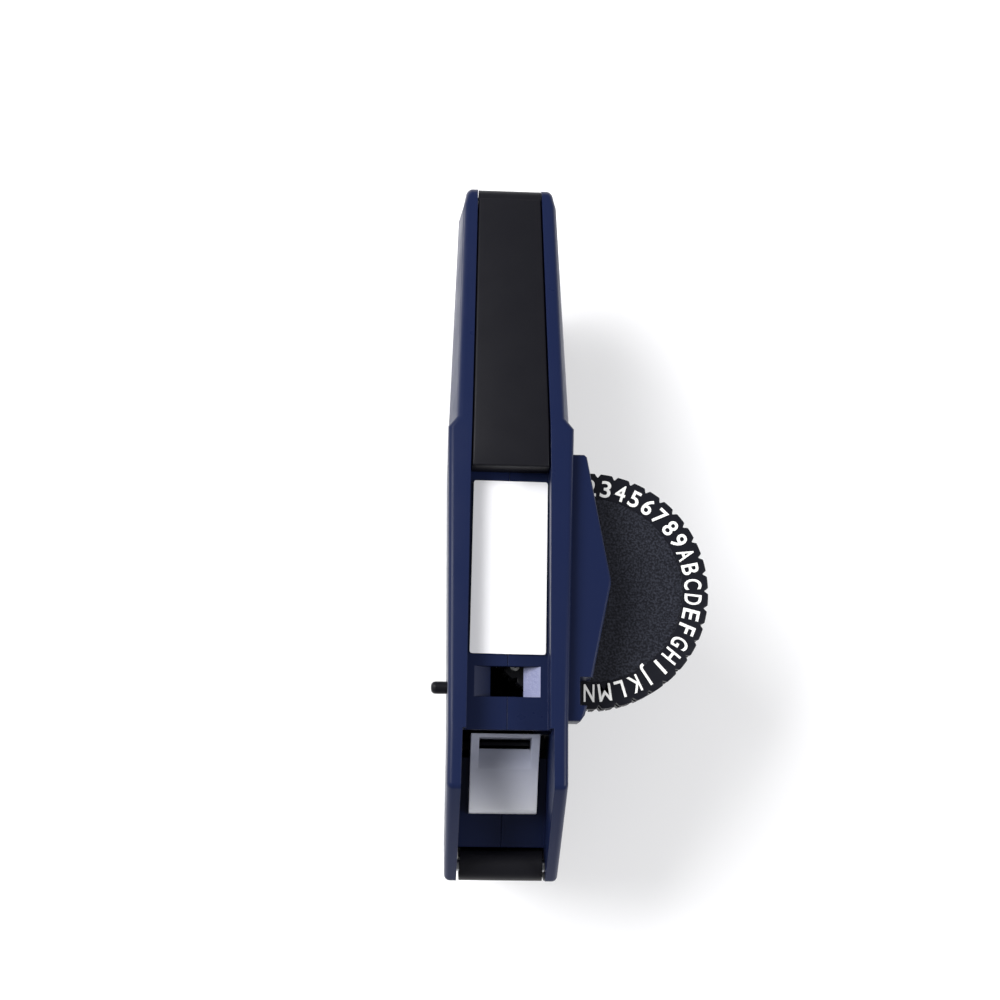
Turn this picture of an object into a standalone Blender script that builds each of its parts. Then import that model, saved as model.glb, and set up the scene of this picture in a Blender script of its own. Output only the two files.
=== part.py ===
"""Embossing label maker: a hand tool that squeezes raised letters into a plastic tape.

Frame: +Z up, +Y towards the end of the handle, +X towards the character dial. X 0 is the seam of
the two body shells, Y 0 is the dial's axis, and Z 0 is the flat underside of the squeeze lever,
on which the tool stands. Lengths are in metres, angles in radians.
"""

import math

import bmesh
import bpy
from mathutils import Matrix, Vector

MM = 0.001
DEGREE = math.pi / 180

# Gaps and wall thicknesses that many pieces share
rest_gap = 0.3 * MM
running_gap = 0.25 * MM
cut_overrun = 0.5 * MM
wall_embed = 1.0 * MM
body_wall = 2.4 * MM
weld_distance = 0.001 * MM

# Body, seen from the side
top_z = 78.0 * MM
shoulder_y = 39.1 * MM
handle_end_y = 118.1 * MM
handle_slope = 16 * DEGREE
nose_break_y = -51.0 * MM
nose_tip_y = -73.8 * MM
nose_drop = 30.0 * MM
nose_nib = 7.5 * MM
front_foot_y = -66.0 * MM
front_foot_z = 10.0 * MM
belly_y = 40.0 * MM
belly_z = 22.0 * MM
handle_end_height = 21.0 * MM
outline_round = 2.0 * MM

# Body, seen from above: half widths
nose_half = 14.6 * MM
neck_half = 14.65 * MM
body_half = 16.15 * MM
handle_half = 16.0 * MM
handle_end_half = 14.4 * MM
shoulder_blend = 3.0 * MM
handle_lean = 2.2 * MM
handle_lean_height = 12.0 * MM
end_taper_length = 6.6 * MM
end_taper_width = 1.5 * MM
end_corner_length = 0.9 * MM
end_corner_width = 0.9 * MM
seam_gap = 0.3 * MM
edge_round = 1.8 * MM

# Recess along the top, with the floor that carries the label and the window
recess_half = 10.2 * MM
recess_end_half = 9.1 * MM
recess_depth = 7.0 * MM
recess_floor = 2.0 * MM
window_setback = 6.9 * MM
window_length = 7.6 * MM
window_half = 8.25 * MM
window_throat_half = 4.15 * MM
window_slope_drop = 2.6 * MM
window_frame = 1.2 * MM

# Character dial: two wheels on one axle, with the tape between them
press_reach = 9.5 * MM
dial_radius = 31.0 * MM
dial_valley_depth = 1.0 * MM
dial_characters = 42
dial_depth = 14.0 * MM
dial_face_thickness = 2.2 * MM
dial_lobe_share = 0.62
punch_disc_inset = 5.2 * MM
punch_disc_thickness = 0.8 * MM
punch_height = 0.35 * MM
punch_length = 3.2 * MM
punch_width = 2.2 * MM
finger_root_reach = 5.5 * MM
finger_slot = 0.6 * MM
tape_gap = 1.0 * MM
die_disc_thickness = 0.8 * MM
die_rim_width = 4.0 * MM
die_rim_height = 4.2 * MM
dial_hub_radius = 7.0 * MM
axle_radius = 3.0 * MM
axle_head_radius = 4.6 * MM
axle_head_height = 1.6 * MM
dial_running_gap = 0.6 * MM

# Bridge of the right shell over the dial, and the bracket below it
bridge_depth = 3.5 * MM
bridge_apex_reach = 4.2 * MM
bridge_rear_reach = 2.2 * MM
bridge_rear_inset = 1.7 * MM
bridge_front_reach = 3.9 * MM
bridge_front_inset = 2.1 * MM
bridge_corner_length = 3.2 * MM
bridge_corner_width = 1.5 * MM
notch_length = 7.0 * MM
notch_inset = 3.7 * MM
bridge_edge_round = 0.7 * MM
bracket_half_length = 16.0 * MM
bracket_apex_half = 3.0 * MM
bracket_inset = 2.5 * MM
bracket_thickness = 3.8 * MM

# Press: frame, anvil and plunger at the tape's middle, X 0 and Y 0
anvil_radius = 4.5 * MM
anvil_thickness = 1.7 * MM
frame_half_length = 8.0 * MM
frame_back = 2.5 * MM
frame_arm_reach = 7.5 * MM
frame_foot_height = 10.0 * MM
frame_foot_drop = 3.0 * MM
plunger_half = 3.5 * MM
plunger_foot_half = 6.0 * MM
plunger_foot_height = 2.0 * MM
plunger_spring_radius = 5.5 * MM
plunger_spring_wire = 0.6 * MM
plunger_spring_curls = 4

# Squeeze lever, hinged at the nose
hinge_y = -70.0 * MM
hinge_depth = 33.8 * MM
barrel_radius = 3.8 * MM
hinge_pin_radius = 1.5 * MM
hinge_pin_reach = 1.6 * MM
lever_half = 10.75 * MM
lever_wall = 2.4 * MM
lever_floor = 3.0 * MM
lever_front_wall = 2.6 * MM
lever_flange_height = 14.0 * MM
lever_end_y = 100.0 * MM
lever_horn_share = 1.5
lever_hollow_share = 1.6
lever_toe_share = 1.5
lever_cheek_drop = 18.2 * MM
lever_hump_drop = 12.2 * MM
lever_hump_half = 8.0 * MM
lever_toe_y = -69.0 * MM
press_pin_drop = 18.2 * MM
press_pin_radius = 3.4 * MM
squeeze_angle = 6 * DEGREE
lever_spring_y = 20.0 * MM
lever_spring_radius = 4.6 * MM
lever_spring_wire = 1.0 * MM
lever_spring_curls = 9
spring_seat_drop = 40.0 * MM
spring_seat_thickness = 2.5 * MM
spring_seat_half = 6.0 * MM

# Feed: two rollers just in front of the wheels
roller_setback = 1.0 * MM
roller_radius = 3.5 * MM
feed_roller_half = 3.85 * MM
pinch_roller_half = 5.3 * MM
roller_shaft_radius = 1.0 * MM
shaft_seat_depth = 1.2 * MM
roller_pinch_gap = 0.4 * MM
roller_groove = 0.25 * MM
ratchet_teeth = 10
ratchet_root_share = 0.15
ratchet_radius = 4.2 * MM
ratchet_root_radius = 3.3 * MM
ratchet_x = -6.35 * MM
ratchet_width = 1.3 * MM
pawl_thickness = 1.1 * MM
pawl_width = 2.0 * MM
pawl_eye_radius = 1.8 * MM
pawl_pin_radius = 0.8 * MM
pawl_arm_width = 2.2 * MM
pawl_offset_y = 1.3 * MM

# Nose: cavity, web and tape chute
cavity_setback = 1.5 * MM
cavity_neck_half = 11.05 * MM
cavity_tip_half = 11.5 * MM
web_thickness = 2.4 * MM
web_rear_setback = 6.0 * MM
web_rear_depth = 23.0 * MM
web_front_gap = 0.8 * MM
web_front_depth = 32.5 * MM
chute_half = 8.7 * MM
chute_wall = 1.5 * MM
chute_skin = 2.4 * MM
chute_rear_depth = 11.8 * MM
chute_front_depth = 24.0 * MM
chute_length = 19.4 * MM
chute_bend_reach = 8.2 * MM
chute_bend_round = 14.0 * MM
chute_lip_round = 2.4 * MM
chute_rear_drop = 12.8 * MM
chute_bar = 0.9 * MM
tape_slot_half = 6.6 * MM
tape_slot_length = 2.5 * MM
tape_slot_height = 2.2 * MM
tape_floor_drop = 0.4 * MM

# Cutter: blade in the chute's slot, its carrier, and the button pin in the left wall
cutter_stroke = 2.2 * MM
blade_half = 6.4 * MM
blade_thickness = 0.8 * MM
blade_rise = 1.0 * MM
blade_below_tape = 0.3 * MM
carrier_half = 10.8 * MM
carrier_thickness = 2.0 * MM
carrier_height = 6.9 * MM
carrier_foot_width = 3.4 * MM
carrier_foot_height = 2.6 * MM
button_setback = 6.4 * MM
button_round_share = 0.7
button_depth = 20.0 * MM
button_radius = 1.6 * MM
button_proud = 4.2 * MM
button_arm_thickness = 1.4 * MM
button_arm_width = 3.6 * MM
wedge_length = 2.7 * MM
cutter_spring_radius = 1.35 * MM
cutter_spring_wire = 0.4 * MM
cutter_spring_curls = 5
cutter_spring_height = 8.0 * MM
cutter_seat_thickness = 2.0 * MM

# Tape magazine and its cover
magazine_y = 54.0 * MM
magazine_radius = 18.0 * MM
magazine_half = 6.85 * MM
magazine_wall = 1.5 * MM
magazine_depth = 27.5 * MM
snout_length = 5.0 * MM
snout_height = 5.0 * MM
snout_slot_height = 1.2 * MM
magazine_rib = 2.4 * MM
magazine_rib_height = 12.0 * MM
magazine_rib_spacing = 18.0 * MM
cover_front_y = 28.7 * MM
cover_half = 9.9 * MM
cover_end_half = 8.8 * MM
cover_sink = 0.2 * MM
cover_skin = 1.8 * MM
cover_side_wall = 1.5 * MM
cover_curl_radius = 4.2 * MM
cover_pin_radius = 1.2 * MM
cover_pin_reach = 1.6 * MM

# Label, screws and the detent spring
label_half = 9.55 * MM
label_length = 44.6 * MM
label_gap = 3.0 * MM
label_shift = 0.15 * MM
label_turn = -0.45 * DEGREE
label_thickness = 0.25 * MM
boss_radius = 3.2 * MM
boss_core_radius = 1.5 * MM
screw_radius = 1.2 * MM
screw_head_radius = 2.5 * MM
screw_head_height = 1.8 * MM
screw_sink = 0.6 * MM
screw_grip = 7.0 * MM
screw_nose_setback = 4.0 * MM
screw_nose_depth = 40.0 * MM
screw_press_depth = 32.0 * MM
screw_magazine_lead = 24.0 * MM
screw_magazine_lag = 26.0 * MM
screw_lead_depth = 37.0 * MM
screw_lag_depth = 36.0 * MM
screw_end_setback = 14.1 * MM
screw_end_depth = 37.0 * MM
detent_thickness = 0.4 * MM
detent_height = 2.8 * MM
detent_angle = 150 * DEGREE
detent_root_inset = 1.0 * MM
detent_seat_reach = 1.6 * MM
detent_seat_width = 4.0 * MM

# Facets
round_sides = 24
small_sides = 16
spring_points_per_curl = 9
arc_steps = 4

# Places that follow from the sizes above
hinge_z = top_z - hinge_depth
press_pin_z = hinge_z - press_pin_drop
lever_cheek_z = hinge_z - lever_cheek_drop
lever_hump_z = hinge_z - lever_hump_drop
dial_x = dial_radius - press_reach
dial_valley_radius = dial_radius - dial_valley_depth
punch_disc_radius = dial_radius - punch_disc_inset
finger_root_radius = dial_hub_radius + finger_root_reach
die_rim_inner_radius = dial_radius - die_rim_width
tape_z = top_z - dial_depth - dial_face_thickness - punch_disc_thickness - punch_height - tape_gap / 2
recess_floor_z = top_z - recess_depth
roof_depth = recess_depth + recess_floor
roller_y = -(dial_radius + roller_setback)
window_y = roller_y + window_setback
button_y = roller_y + button_setback
label_y = window_y + window_length / 2 + label_gap + label_length / 2
detent_root_y = dial_radius - detent_root_inset
bridge_apex_x = dial_x + bridge_apex_reach
bridge_rear_y = dial_radius + bridge_rear_reach
bridge_rear_x = dial_x - bridge_rear_inset
bridge_front_y = -(dial_radius + bridge_front_reach)
bridge_front_x = dial_x - bridge_front_inset
notch_x = dial_x - notch_inset
cavity_y = roller_y - roller_radius - cavity_setback
handle_end_top = top_z - (handle_end_y - shoulder_y) * math.tan(handle_slope)
feed_z = tape_z + roller_pinch_gap / 2 + roller_radius
pinch_z = tape_z - roller_pinch_gap / 2 - roller_radius
dial_top_z = top_z - dial_depth
punch_top_z = dial_top_z - dial_face_thickness - rest_gap
die_top_z = tape_z - tape_gap / 2 - rest_gap
die_bottom_z = die_top_z - die_rim_height
plunger_stroke = (
    -hinge_y * math.sin(squeeze_angle) + (hinge_z - press_pin_z) * (1 - math.cos(squeeze_angle))
)
plunger_top_z = die_top_z - die_disc_thickness - rest_gap - plunger_stroke
plunger_foot_z = press_pin_z + press_pin_radius + rest_gap
frame_foot_top_z = die_bottom_z - frame_foot_drop
frame_foot_z = frame_foot_top_z - frame_foot_height
chute_y = cavity_y - 2 * rest_gap
blade_y = chute_y - chute_bar - tape_slot_length / 2
blade_top_z = tape_z - blade_below_tape
chute_bottom_z = top_z - chute_rear_depth - chute_rear_drop
carrier_top_z = chute_bottom_z - cutter_stroke - 2 * rest_gap
carrier_z = carrier_top_z - carrier_height
button_z = top_z - button_depth
magazine_z = top_z - magazine_depth

# Places of the body screws: along Y, and down from the top
screw_places = (
    (nose_break_y - screw_nose_setback, screw_nose_depth),
    (-2 * frame_half_length, screw_press_depth),
    (magazine_y - screw_magazine_lead, screw_lead_depth),
    (magazine_y + screw_magazine_lag, screw_lag_depth),
    (handle_end_y - screw_end_setback, screw_end_depth),
)


def clear_scene():
    for old in list(bpy.data.objects):
        bpy.data.objects.remove(old, do_unlink=True)


def new_collection(name):
    made = bpy.data.collections.new(name)
    bpy.context.scene.collection.children.link(made)
    return made


def plastic(name, red, green, blue, roughness, metallic=0.0):
    made = bpy.data.materials.new(name)
    made.use_nodes = True
    shader = made.node_tree.nodes["Principled BSDF"]
    shader.inputs["Base Color"].default_value = (red, green, blue, 1)
    shader.inputs["Roughness"].default_value = roughness
    shader.inputs["Metallic"].default_value = metallic
    made.diffuse_color = (red, green, blue, 1)
    return made


clear_scene()
parts = new_collection("embossing_label_maker")
tools = new_collection("cutters_and_joins")

blue_abs = plastic("blue_abs", 0.018, 0.026, 0.085, 0.32)
black_abs = plastic("black_abs", 0.022, 0.022, 0.026, 0.45)
milky_acetal = plastic("milky_acetal", 0.42, 0.44, 0.50, 0.35)
white_paper = plastic("white_paper", 0.86, 0.86, 0.86, 0.55)
black_rubber = plastic("black_rubber", 0.012, 0.012, 0.012, 0.80)
plain_steel = plastic("plain_steel", 0.55, 0.56, 0.58, 0.30, 1.0)
spring_steel = plastic("spring_steel", 0.50, 0.50, 0.52, 0.25, 1.0)


def own(finish, name):
    """A piece's own copy of one of the finishes above."""
    made = finish.copy()
    made.name = f"{name}_{finish.name}"
    return made


def add_part(name, mesh, material, origin=(0, 0, 0)):
    """A piece of the tool, with its own material and its origin on its joint's axis."""
    mesh.transform(Matrix.Translation(-Vector(origin)))
    made = bpy.data.objects.new(name, mesh)
    made.location = origin
    mesh.materials.clear()
    mesh.materials.append(own(material, name))
    parts.objects.link(made)
    return made


def add_tool(name, mesh):
    """A cutter, or a lump that a Boolean joins to a piece. It isn't part of the object."""
    made = bpy.data.objects.new(name, mesh)
    made.hide_render = True
    made.display_type = "WIRE"
    tools.objects.link(made)
    return made


def boolean(piece, tool, operation):
    step = piece.modifiers.new(f"{operation.lower()}_{tool.name}", "BOOLEAN")
    step.operation = operation
    step.solver = "EXACT"
    step.object = tool


def cut(piece, *cutters):
    for cutter in cutters:
        boolean(piece, cutter, "DIFFERENCE")


def join(piece, *lumps):
    for lump in lumps:
        boolean(piece, lump, "UNION")


def shade(mesh, angle=35 * DEGREE):
    mesh.shade_smooth()
    mesh.set_sharp_from_angle(angle=angle)
    return mesh


def plain_mesh(bm):
    mesh = bpy.data.meshes.new("shape")
    bm.to_mesh(mesh)
    bm.free()
    return mesh


def mesh_of(bm):
    """The mesh of one closed solid, with all its faces turned outwards."""
    bmesh.ops.recalc_face_normals(bm, faces=bm.faces)
    if bm.calc_volume(signed=True) < 0:
        bmesh.ops.reverse_faces(bm, faces=bm.faces)
    return plain_mesh(bm)


def rounded(corners, steps=arc_steps):
    """Outline points from corners of (u, v, radius), with an arc wherever a radius is given."""
    points = []
    for index, (u, v, radius) in enumerate(corners):
        here = Vector((u, v))
        if not radius:
            points.append(here)
            continue
        back = (Vector(corners[index - 1][:2]) - here).normalized()
        ahead = (Vector(corners[(index + 1) % len(corners)][:2]) - here).normalized()
        half = back.angle(ahead) / 2
        centre = here + (back + ahead).normalized() * (radius / math.sin(half))
        start = here + back * (radius / math.tan(half)) - centre
        end = here + ahead * (radius / math.tan(half)) - centre
        turn = math.atan2(start.x * end.y - start.y * end.x, start.dot(end))
        for step in range(steps + 1):
            points.append(centre + Matrix.Rotation(turn * step / steps, 2) @ start)
    return points


def circle(radius, sides, centre=(0, 0), first=0.0):
    return [
        Vector(centre) + Vector((math.cos(turn), math.sin(turn))) * radius
        for turn in (first + 2 * math.pi * side / sides for side in range(sides))
    ]


# Where an outline's own axes and its thickness lie in the model
PLANES = {
    "XY": Matrix(((1, 0, 0), (0, 1, 0), (0, 0, 1))).to_4x4(),
    "YZ": Matrix(((0, 0, 1), (1, 0, 0), (0, 1, 0))).to_4x4(),
    "XZ": Matrix(((1, 0, 0), (0, 0, -1), (0, 1, 0))).to_4x4(),
}


def slab_bmesh(outlines, plane, low, high):
    """A flat outline, with any holes in it, made thick from low to high across its plane."""
    curve = bpy.data.curves.new("outline", "CURVE")
    curve.dimensions = "2D"
    curve.fill_mode = "BOTH"
    curve.extrude = (high - low) / 2
    for outline in outlines:
        spline = curve.splines.new("POLY")
        spline.points.add(len(outline) - 1)
        for point, place in zip(spline.points, outline):
            point.co = (place[0], place[1], 0, 1)
        spline.use_cyclic_u = True
    holder = bpy.data.objects.new("outline", curve)
    tools.objects.link(holder)
    graph = bpy.context.evaluated_depsgraph_get()
    mesh = bpy.data.meshes.new_from_object(holder.evaluated_get(graph))
    bpy.data.objects.remove(holder, do_unlink=True)
    bm = bmesh.new()
    bm.from_mesh(mesh)
    bmesh.ops.remove_doubles(bm, verts=bm.verts, dist=weld_distance)
    bmesh.ops.dissolve_limit(bm, angle_limit=0.1 * DEGREE, verts=bm.verts, edges=bm.edges)
    middle = (low + high) / 2
    if plane == "XZ":
        middle = -middle
    bm.transform(PLANES[plane] @ Matrix.Translation((0, 0, middle)))
    return bm


def slab(outline, plane, low, high, holes=()):
    return mesh_of(slab_bmesh([outline, *holes], plane, low, high))


def block(low, high):
    bm = bmesh.new()
    bmesh.ops.create_cube(bm, size=1)
    size = Vector(high) - Vector(low)
    bmesh.ops.scale(bm, vec=size, verts=bm.verts)
    bmesh.ops.translate(bm, vec=Vector(low) + size / 2, verts=bm.verts)
    return mesh_of(bm)


def rod(radius, start, end, sides=round_sides):
    """A cylinder between two points."""
    along = Vector(end) - Vector(start)
    bm = bmesh.new()
    bmesh.ops.create_cone(
        bm, cap_ends=True, segments=sides, radius1=radius, radius2=radius, depth=along.length
    )
    bm.transform(
        Matrix.Translation(Vector(start) + along / 2) @ along.to_track_quat("Z", "X").to_matrix().to_4x4()
    )
    return mesh_of(bm)


def soften(mesh, width, segments=1):
    """The sharp edges of a plain mesh rounded, where their faces meet at a right angle or so."""
    bm = bmesh.new()
    bm.from_mesh(mesh)
    sharp = [edge for edge in bm.edges if edge.calc_face_angle(0) > 60 * DEGREE]
    bmesh.ops.bevel(
        bm, geom=sharp, offset=width, segments=segments, profile=0.5, affect="EDGES", clamp_overlap=True
    )
    bm.to_mesh(mesh)
    bm.free()
    return mesh


def turned(name, profile, material, origin, sides, across=0, hollow=False):
    """A turned piece: points of (radius, height) that run down its outer side, then Screw."""
    bm = bmesh.new()
    points = [bm.verts.new((radius, 0, height)) for radius, height in profile]
    for first, second in zip(points, points[1:]):
        bm.edges.new((first, second))
    if hollow:
        bm.edges.new((points[-1], points[0]))
    mesh = bpy.data.meshes.new(name)
    bm.to_mesh(mesh)
    bm.free()
    made = bpy.data.objects.new(name, mesh)
    made.location = origin
    made.rotation_euler = (0, across * math.pi / 2, 0)
    mesh.materials.append(own(material, name))
    screw = made.modifiers.new("turn", "SCREW")
    screw.steps = sides
    screw.render_steps = sides
    screw.use_merge_vertices = True
    screw.merge_threshold = weld_distance
    parts.objects.link(made)
    return made


def pin_profile(radius, half, chamfer):
    return ((0, half), (radius - chamfer, half), (radius, half - chamfer),
            (radius, chamfer - half), (radius - chamfer, -half), (0, -half))


def coil(name, centre, low, high, radius, wire, curls):
    """A compression spring: one unbroken wire, standing along Z, with its ends in the seats."""
    count = curls * spring_points_per_curl
    start = low + wire / 2
    climb = high - low - wire
    curve = bpy.data.curves.new(name, "CURVE")
    curve.dimensions = "3D"
    curve.bevel_depth = wire / 2
    curve.bevel_resolution = 1
    curve.use_fill_caps = True
    spline = curve.splines.new("POLY")
    spline.points.add(count)
    for step, point in enumerate(spline.points):
        turn = 2 * math.pi * step / spring_points_per_curl
        point.co = (radius * math.cos(turn), radius * math.sin(turn), climb * step / count, 1)
    made = bpy.data.objects.new(name, curve)
    made.location = (centre[0], centre[1], start)
    curve.materials.append(own(spring_steel, name))
    parts.objects.link(made)
    print(f"{name}: least gap between curls {1000 * (climb / curls - wire):.2f} mm")
    return made


# The two body shells


def roof(y, depth):
    """Height of the body's top line at y, a given depth below the skin."""
    flat = top_z - depth
    sloping = top_z - (y - shoulder_y) * math.tan(handle_slope) - depth / math.cos(handle_slope)
    return min(flat, sloping)


def bend_y(depth):
    """Where the top line bends down to the handle, a given depth below the skin."""
    return shoulder_y - depth * math.tan(handle_slope / 2)


def width_at(y, stations):
    """Half width at y, straight between the stations of (y, half width)."""
    for (y0, half0), (y1, half1) in zip(stations, stations[1:]):
        if y <= y1:
            share = max(0.0, (y - y0) / (y1 - y0))
            return half0 + (half1 - half0) * share
    return stations[-1][1]


body_stations = (
    (nose_tip_y, nose_half),
    (cavity_y, neck_half),
    (shoulder_y, body_half),
    (shoulder_y + shoulder_blend, handle_half),
    (handle_end_y - end_taper_length, handle_end_half),
    (handle_end_y - end_corner_length, handle_end_half - end_taper_width),
    (handle_end_y, handle_end_half - end_taper_width - end_corner_width),
)
recess_stations = (
    (cavity_y, recess_half),
    (cover_front_y, recess_half),
    (handle_end_y, recess_end_half),
)
cavity_stations = ((nose_tip_y, cavity_tip_half), (cavity_y, cavity_neck_half))


def body_half_at(y):
    return width_at(y, body_stations)


def inner_half_at(y):
    return body_half_at(y) - body_wall


def tapered_bmesh(outline, stations, inner, shrink=0.0):
    """A side outline from X inner out to the stations' half width, less a wall."""
    bm = slab_bmesh([outline], "YZ", 0, body_half)
    for y, _ in stations:
        everything = list(bm.verts) + list(bm.edges) + list(bm.faces)
        bmesh.ops.bisect_plane(
            bm, geom=everything, dist=weld_distance, plane_co=(0, y, 0), plane_no=(0, 1, 0)
        )
    for vert in bm.verts:
        outer = vert.co.x > body_half / 2
        vert.co.x = width_at(vert.co.y, stations) - shrink if outer else inner
    return bm


def rim_edges(bm, low_y, high_y):
    """The long outer edges between low_y and high_y, where a side face meets the top or an end."""
    found = []
    for edge in bm.edges:
        if len(edge.link_faces) != 2:
            continue
        inner = min(vert.co.x for vert in edge.verts) < body_half / 2
        inside = all(low_y < vert.co.y < high_y for vert in edge.verts)
        sides = [abs(face.normal.x) > 0.5 for face in edge.link_faces]
        down = any(face.normal.z < -0.6 for face in edge.link_faces)
        if inside and not inner and not down and sum(sides) == 1:
            found.append(edge)
    return found


def shell_blank():
    """Half of the body, solid, with its long edges rounded."""
    outline = rounded((
        (nose_tip_y, top_z - nose_drop, outline_round),
        (nose_tip_y, top_z - nose_drop - nose_nib, outline_round),
        (front_foot_y, front_foot_z, outline_round),
        (belly_y, belly_z, 0),
        (handle_end_y, handle_end_top - handle_end_height, outline_round),
        (handle_end_y, handle_end_top, cover_curl_radius + rest_gap),
        (shoulder_y, top_z, 0),
        (nose_break_y, top_z, outline_round),
    ))
    bm = tapered_bmesh(outline, body_stations, seam_gap / 2)
    lean_handle(bm)
    bmesh.ops.recalc_face_normals(bm, faces=bm.faces)
    bmesh.ops.bevel(
        bm, geom=rim_edges(bm, 2 * nose_tip_y, shoulder_y + weld_distance), offset=edge_round,
        offset_type="OFFSET", segments=3, profile=0.5, affect="EDGES", clamp_overlap=True
    )
    return mesh_of(bm)


def lean_handle(bm):
    """Leans the upper part of the handle's sides inwards, towards the edges of its top."""
    start = shoulder_y + shoulder_blend - weld_distance
    faces = [face for face in bm.faces if min(vert.co.y for vert in face.verts) > start]
    edges = {edge for face in faces for edge in face.edges}
    verts = {vert for face in faces for vert in face.verts}
    bmesh.ops.bisect_plane(
        bm, geom=[*verts, *edges, *faces], dist=weld_distance,
        plane_co=(0, shoulder_y, top_z - handle_lean_height),
        plane_no=(0, math.sin(handle_slope), math.cos(handle_slope))
    )
    for vert in bm.verts:
        if vert.co.x > body_half / 2 and vert.co.y > start:
            share = 1 - (roof(vert.co.y, 0) - vert.co.z) / handle_lean_height
            vert.co.x -= handle_lean * min(max(share, 0), 1)


def shell_tools(side):
    """Everything that is joined to or cut from the shell on one side, -1 left and 1 right."""
    below = -handle_end_y

    def sided(mesh):
        mesh.transform(Matrix.Diagonal((side, 1, 1, 1)))
        if side < 0:
            mesh.flip_normals()
        return mesh

    def half_slab(outline, inner, outer):
        return sided(slab(outline, "YZ", inner, outer))

    cavity_outline = (
        (cavity_y - cut_overrun, below),
        (cavity_y - cut_overrun, top_z - roof_depth),
        (bend_y(roof_depth), top_z - roof_depth),
        (handle_end_y - body_wall, roof(handle_end_y - body_wall, roof_depth)),
        (handle_end_y - body_wall, below),
    )
    hollow = [
        add_tool("body_cavity", sided(mesh_of(tapered_bmesh(
            cavity_outline, body_stations, -cut_overrun, body_wall)))),
        add_tool("nose_cavity", sided(mesh_of(tapered_bmesh(
            ((nose_tip_y - cut_overrun, below), (cavity_y, below), (cavity_y, 2 * top_z),
             (nose_tip_y - cut_overrun, 2 * top_z)),
            cavity_stations, -cut_overrun)))),
    ]

    web_front_y = hinge_y + barrel_radius + web_front_gap
    web_rear_y = cavity_y - web_rear_setback
    web_outline = (
        (web_rear_y, top_z - web_rear_depth - web_thickness),
        (web_front_y, top_z - web_front_depth - web_thickness),
        (web_front_y, top_z - web_front_depth),
        (web_rear_y, top_z - web_rear_depth),
    )
    lumps = [add_tool("nose_web", half_slab(web_outline, seam_gap / 2, cavity_neck_half + wall_embed))]
    for y, depth in screw_places:
        lumps.append(add_tool("screw_boss", sided(rod(
            boss_radius, (seam_gap / 2, y, top_z - depth),
            (inner_half_at(y) + wall_embed, y, top_z - depth), small_sides))))
    seat_z = top_z - spring_seat_drop
    lumps.append(add_tool("spring_seat", sided(block(
        (seam_gap / 2, lever_spring_y - spring_seat_half, seat_z),
        (inner_half_at(lever_spring_y) + wall_embed, lever_spring_y + spring_seat_half,
         seat_z + spring_seat_thickness)))))
    for offset in (-magazine_rib_spacing / 2, magazine_rib_spacing / 2):
        y = magazine_y + offset
        lumps.append(add_tool("magazine_rib", sided(block(
            (magazine_half + magazine_wall + rest_gap, y - magazine_rib / 2,
             magazine_z - magazine_rib_height / 2),
            (inner_half_at(y) + wall_embed, y + magazine_rib / 2, magazine_z + magazine_rib_height / 2)))))
    window_low = window_y - window_length / 2
    window_high = window_y + window_length / 2
    lumps.append(add_tool("window_frame", sided(block(
        (window_throat_half, window_low - window_frame, recess_floor_z - window_slope_drop - rest_gap),
        (recess_half, window_high + window_frame, recess_floor_z - recess_floor / 2)))))

    recess_outline = (
        (cavity_y - cut_overrun, recess_floor_z),
        (bend_y(recess_depth), recess_floor_z),
        (handle_end_y + cut_overrun, roof(handle_end_y + cut_overrun, recess_depth)),
        (handle_end_y + cut_overrun, 2 * top_z),
        (cavity_y - cut_overrun, 2 * top_z),
    )
    cuts = [
        add_tool("top_recess", sided(mesh_of(tapered_bmesh(recess_outline, recess_stations, -cut_overrun)))),
        add_tool("window", sided(slab(
            ((-cut_overrun, recess_floor_z - roof_depth), (window_throat_half, recess_floor_z - roof_depth),
             (window_throat_half, recess_floor_z - window_slope_drop), (window_half, recess_floor_z),
             (window_half, top_z), (-cut_overrun, top_z)),
            "XZ", window_low, window_high))),
        add_tool("magazine_mouth", sided(block(
            (-cut_overrun, magazine_y - magazine_radius + magazine_wall, magazine_z),
            (magazine_half, magazine_y + magazine_radius - magazine_wall, top_z)))),
        add_tool("curl_clearance", sided(rod(
            cover_curl_radius + rest_gap, (-cut_overrun, cover_axis_y, cover_axis_z),
            (recess_end_half, cover_axis_y, cover_axis_z)))),
        add_tool("lever_pin_hole", sided(rod(
            hinge_pin_radius + running_gap, (0, hinge_y, hinge_z),
            (cavity_tip_half + hinge_pin_reach + rest_gap, hinge_y, hinge_z)))),
        add_tool("cover_pin_hole", sided(rod(
            cover_pin_radius + running_gap, (0, cover_axis_y, cover_axis_z),
            (recess_end_half + cover_pin_reach + rest_gap, cover_axis_y, cover_axis_z), small_sides))),
    ]
    for z in (feed_z, pinch_z):
        cuts.append(add_tool("shaft_hole", sided(rod(
            roller_shaft_radius + running_gap, (0, roller_y, z),
            (inner_half_at(roller_y) + shaft_seat_depth, roller_y, z), small_sides))))
    for y, depth in screw_places:
        far = body_half if side < 0 else screw_grip + rest_gap
        cuts.append(add_tool("screw_core", sided(rod(
            boss_core_radius, (0, y, top_z - depth), (far, y, top_z - depth), small_sides))))
        if side < 0:
            sunk = body_half_at(y) - screw_sink - screw_head_height - rest_gap
            cuts.append(add_tool("screw_head_well", sided(rod(
                screw_head_radius + rest_gap, (sunk, y, top_z - depth),
                (body_half + wall_embed, y, top_z - depth), small_sides))))
    return hollow, lumps, cuts


cover_axis_y = handle_end_y - rest_gap - cover_curl_radius
cover_axis_z = roof(cover_axis_y + cover_curl_radius * math.sin(handle_slope), cover_sink) - (
    cover_curl_radius * math.cos(handle_slope)
)


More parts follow.
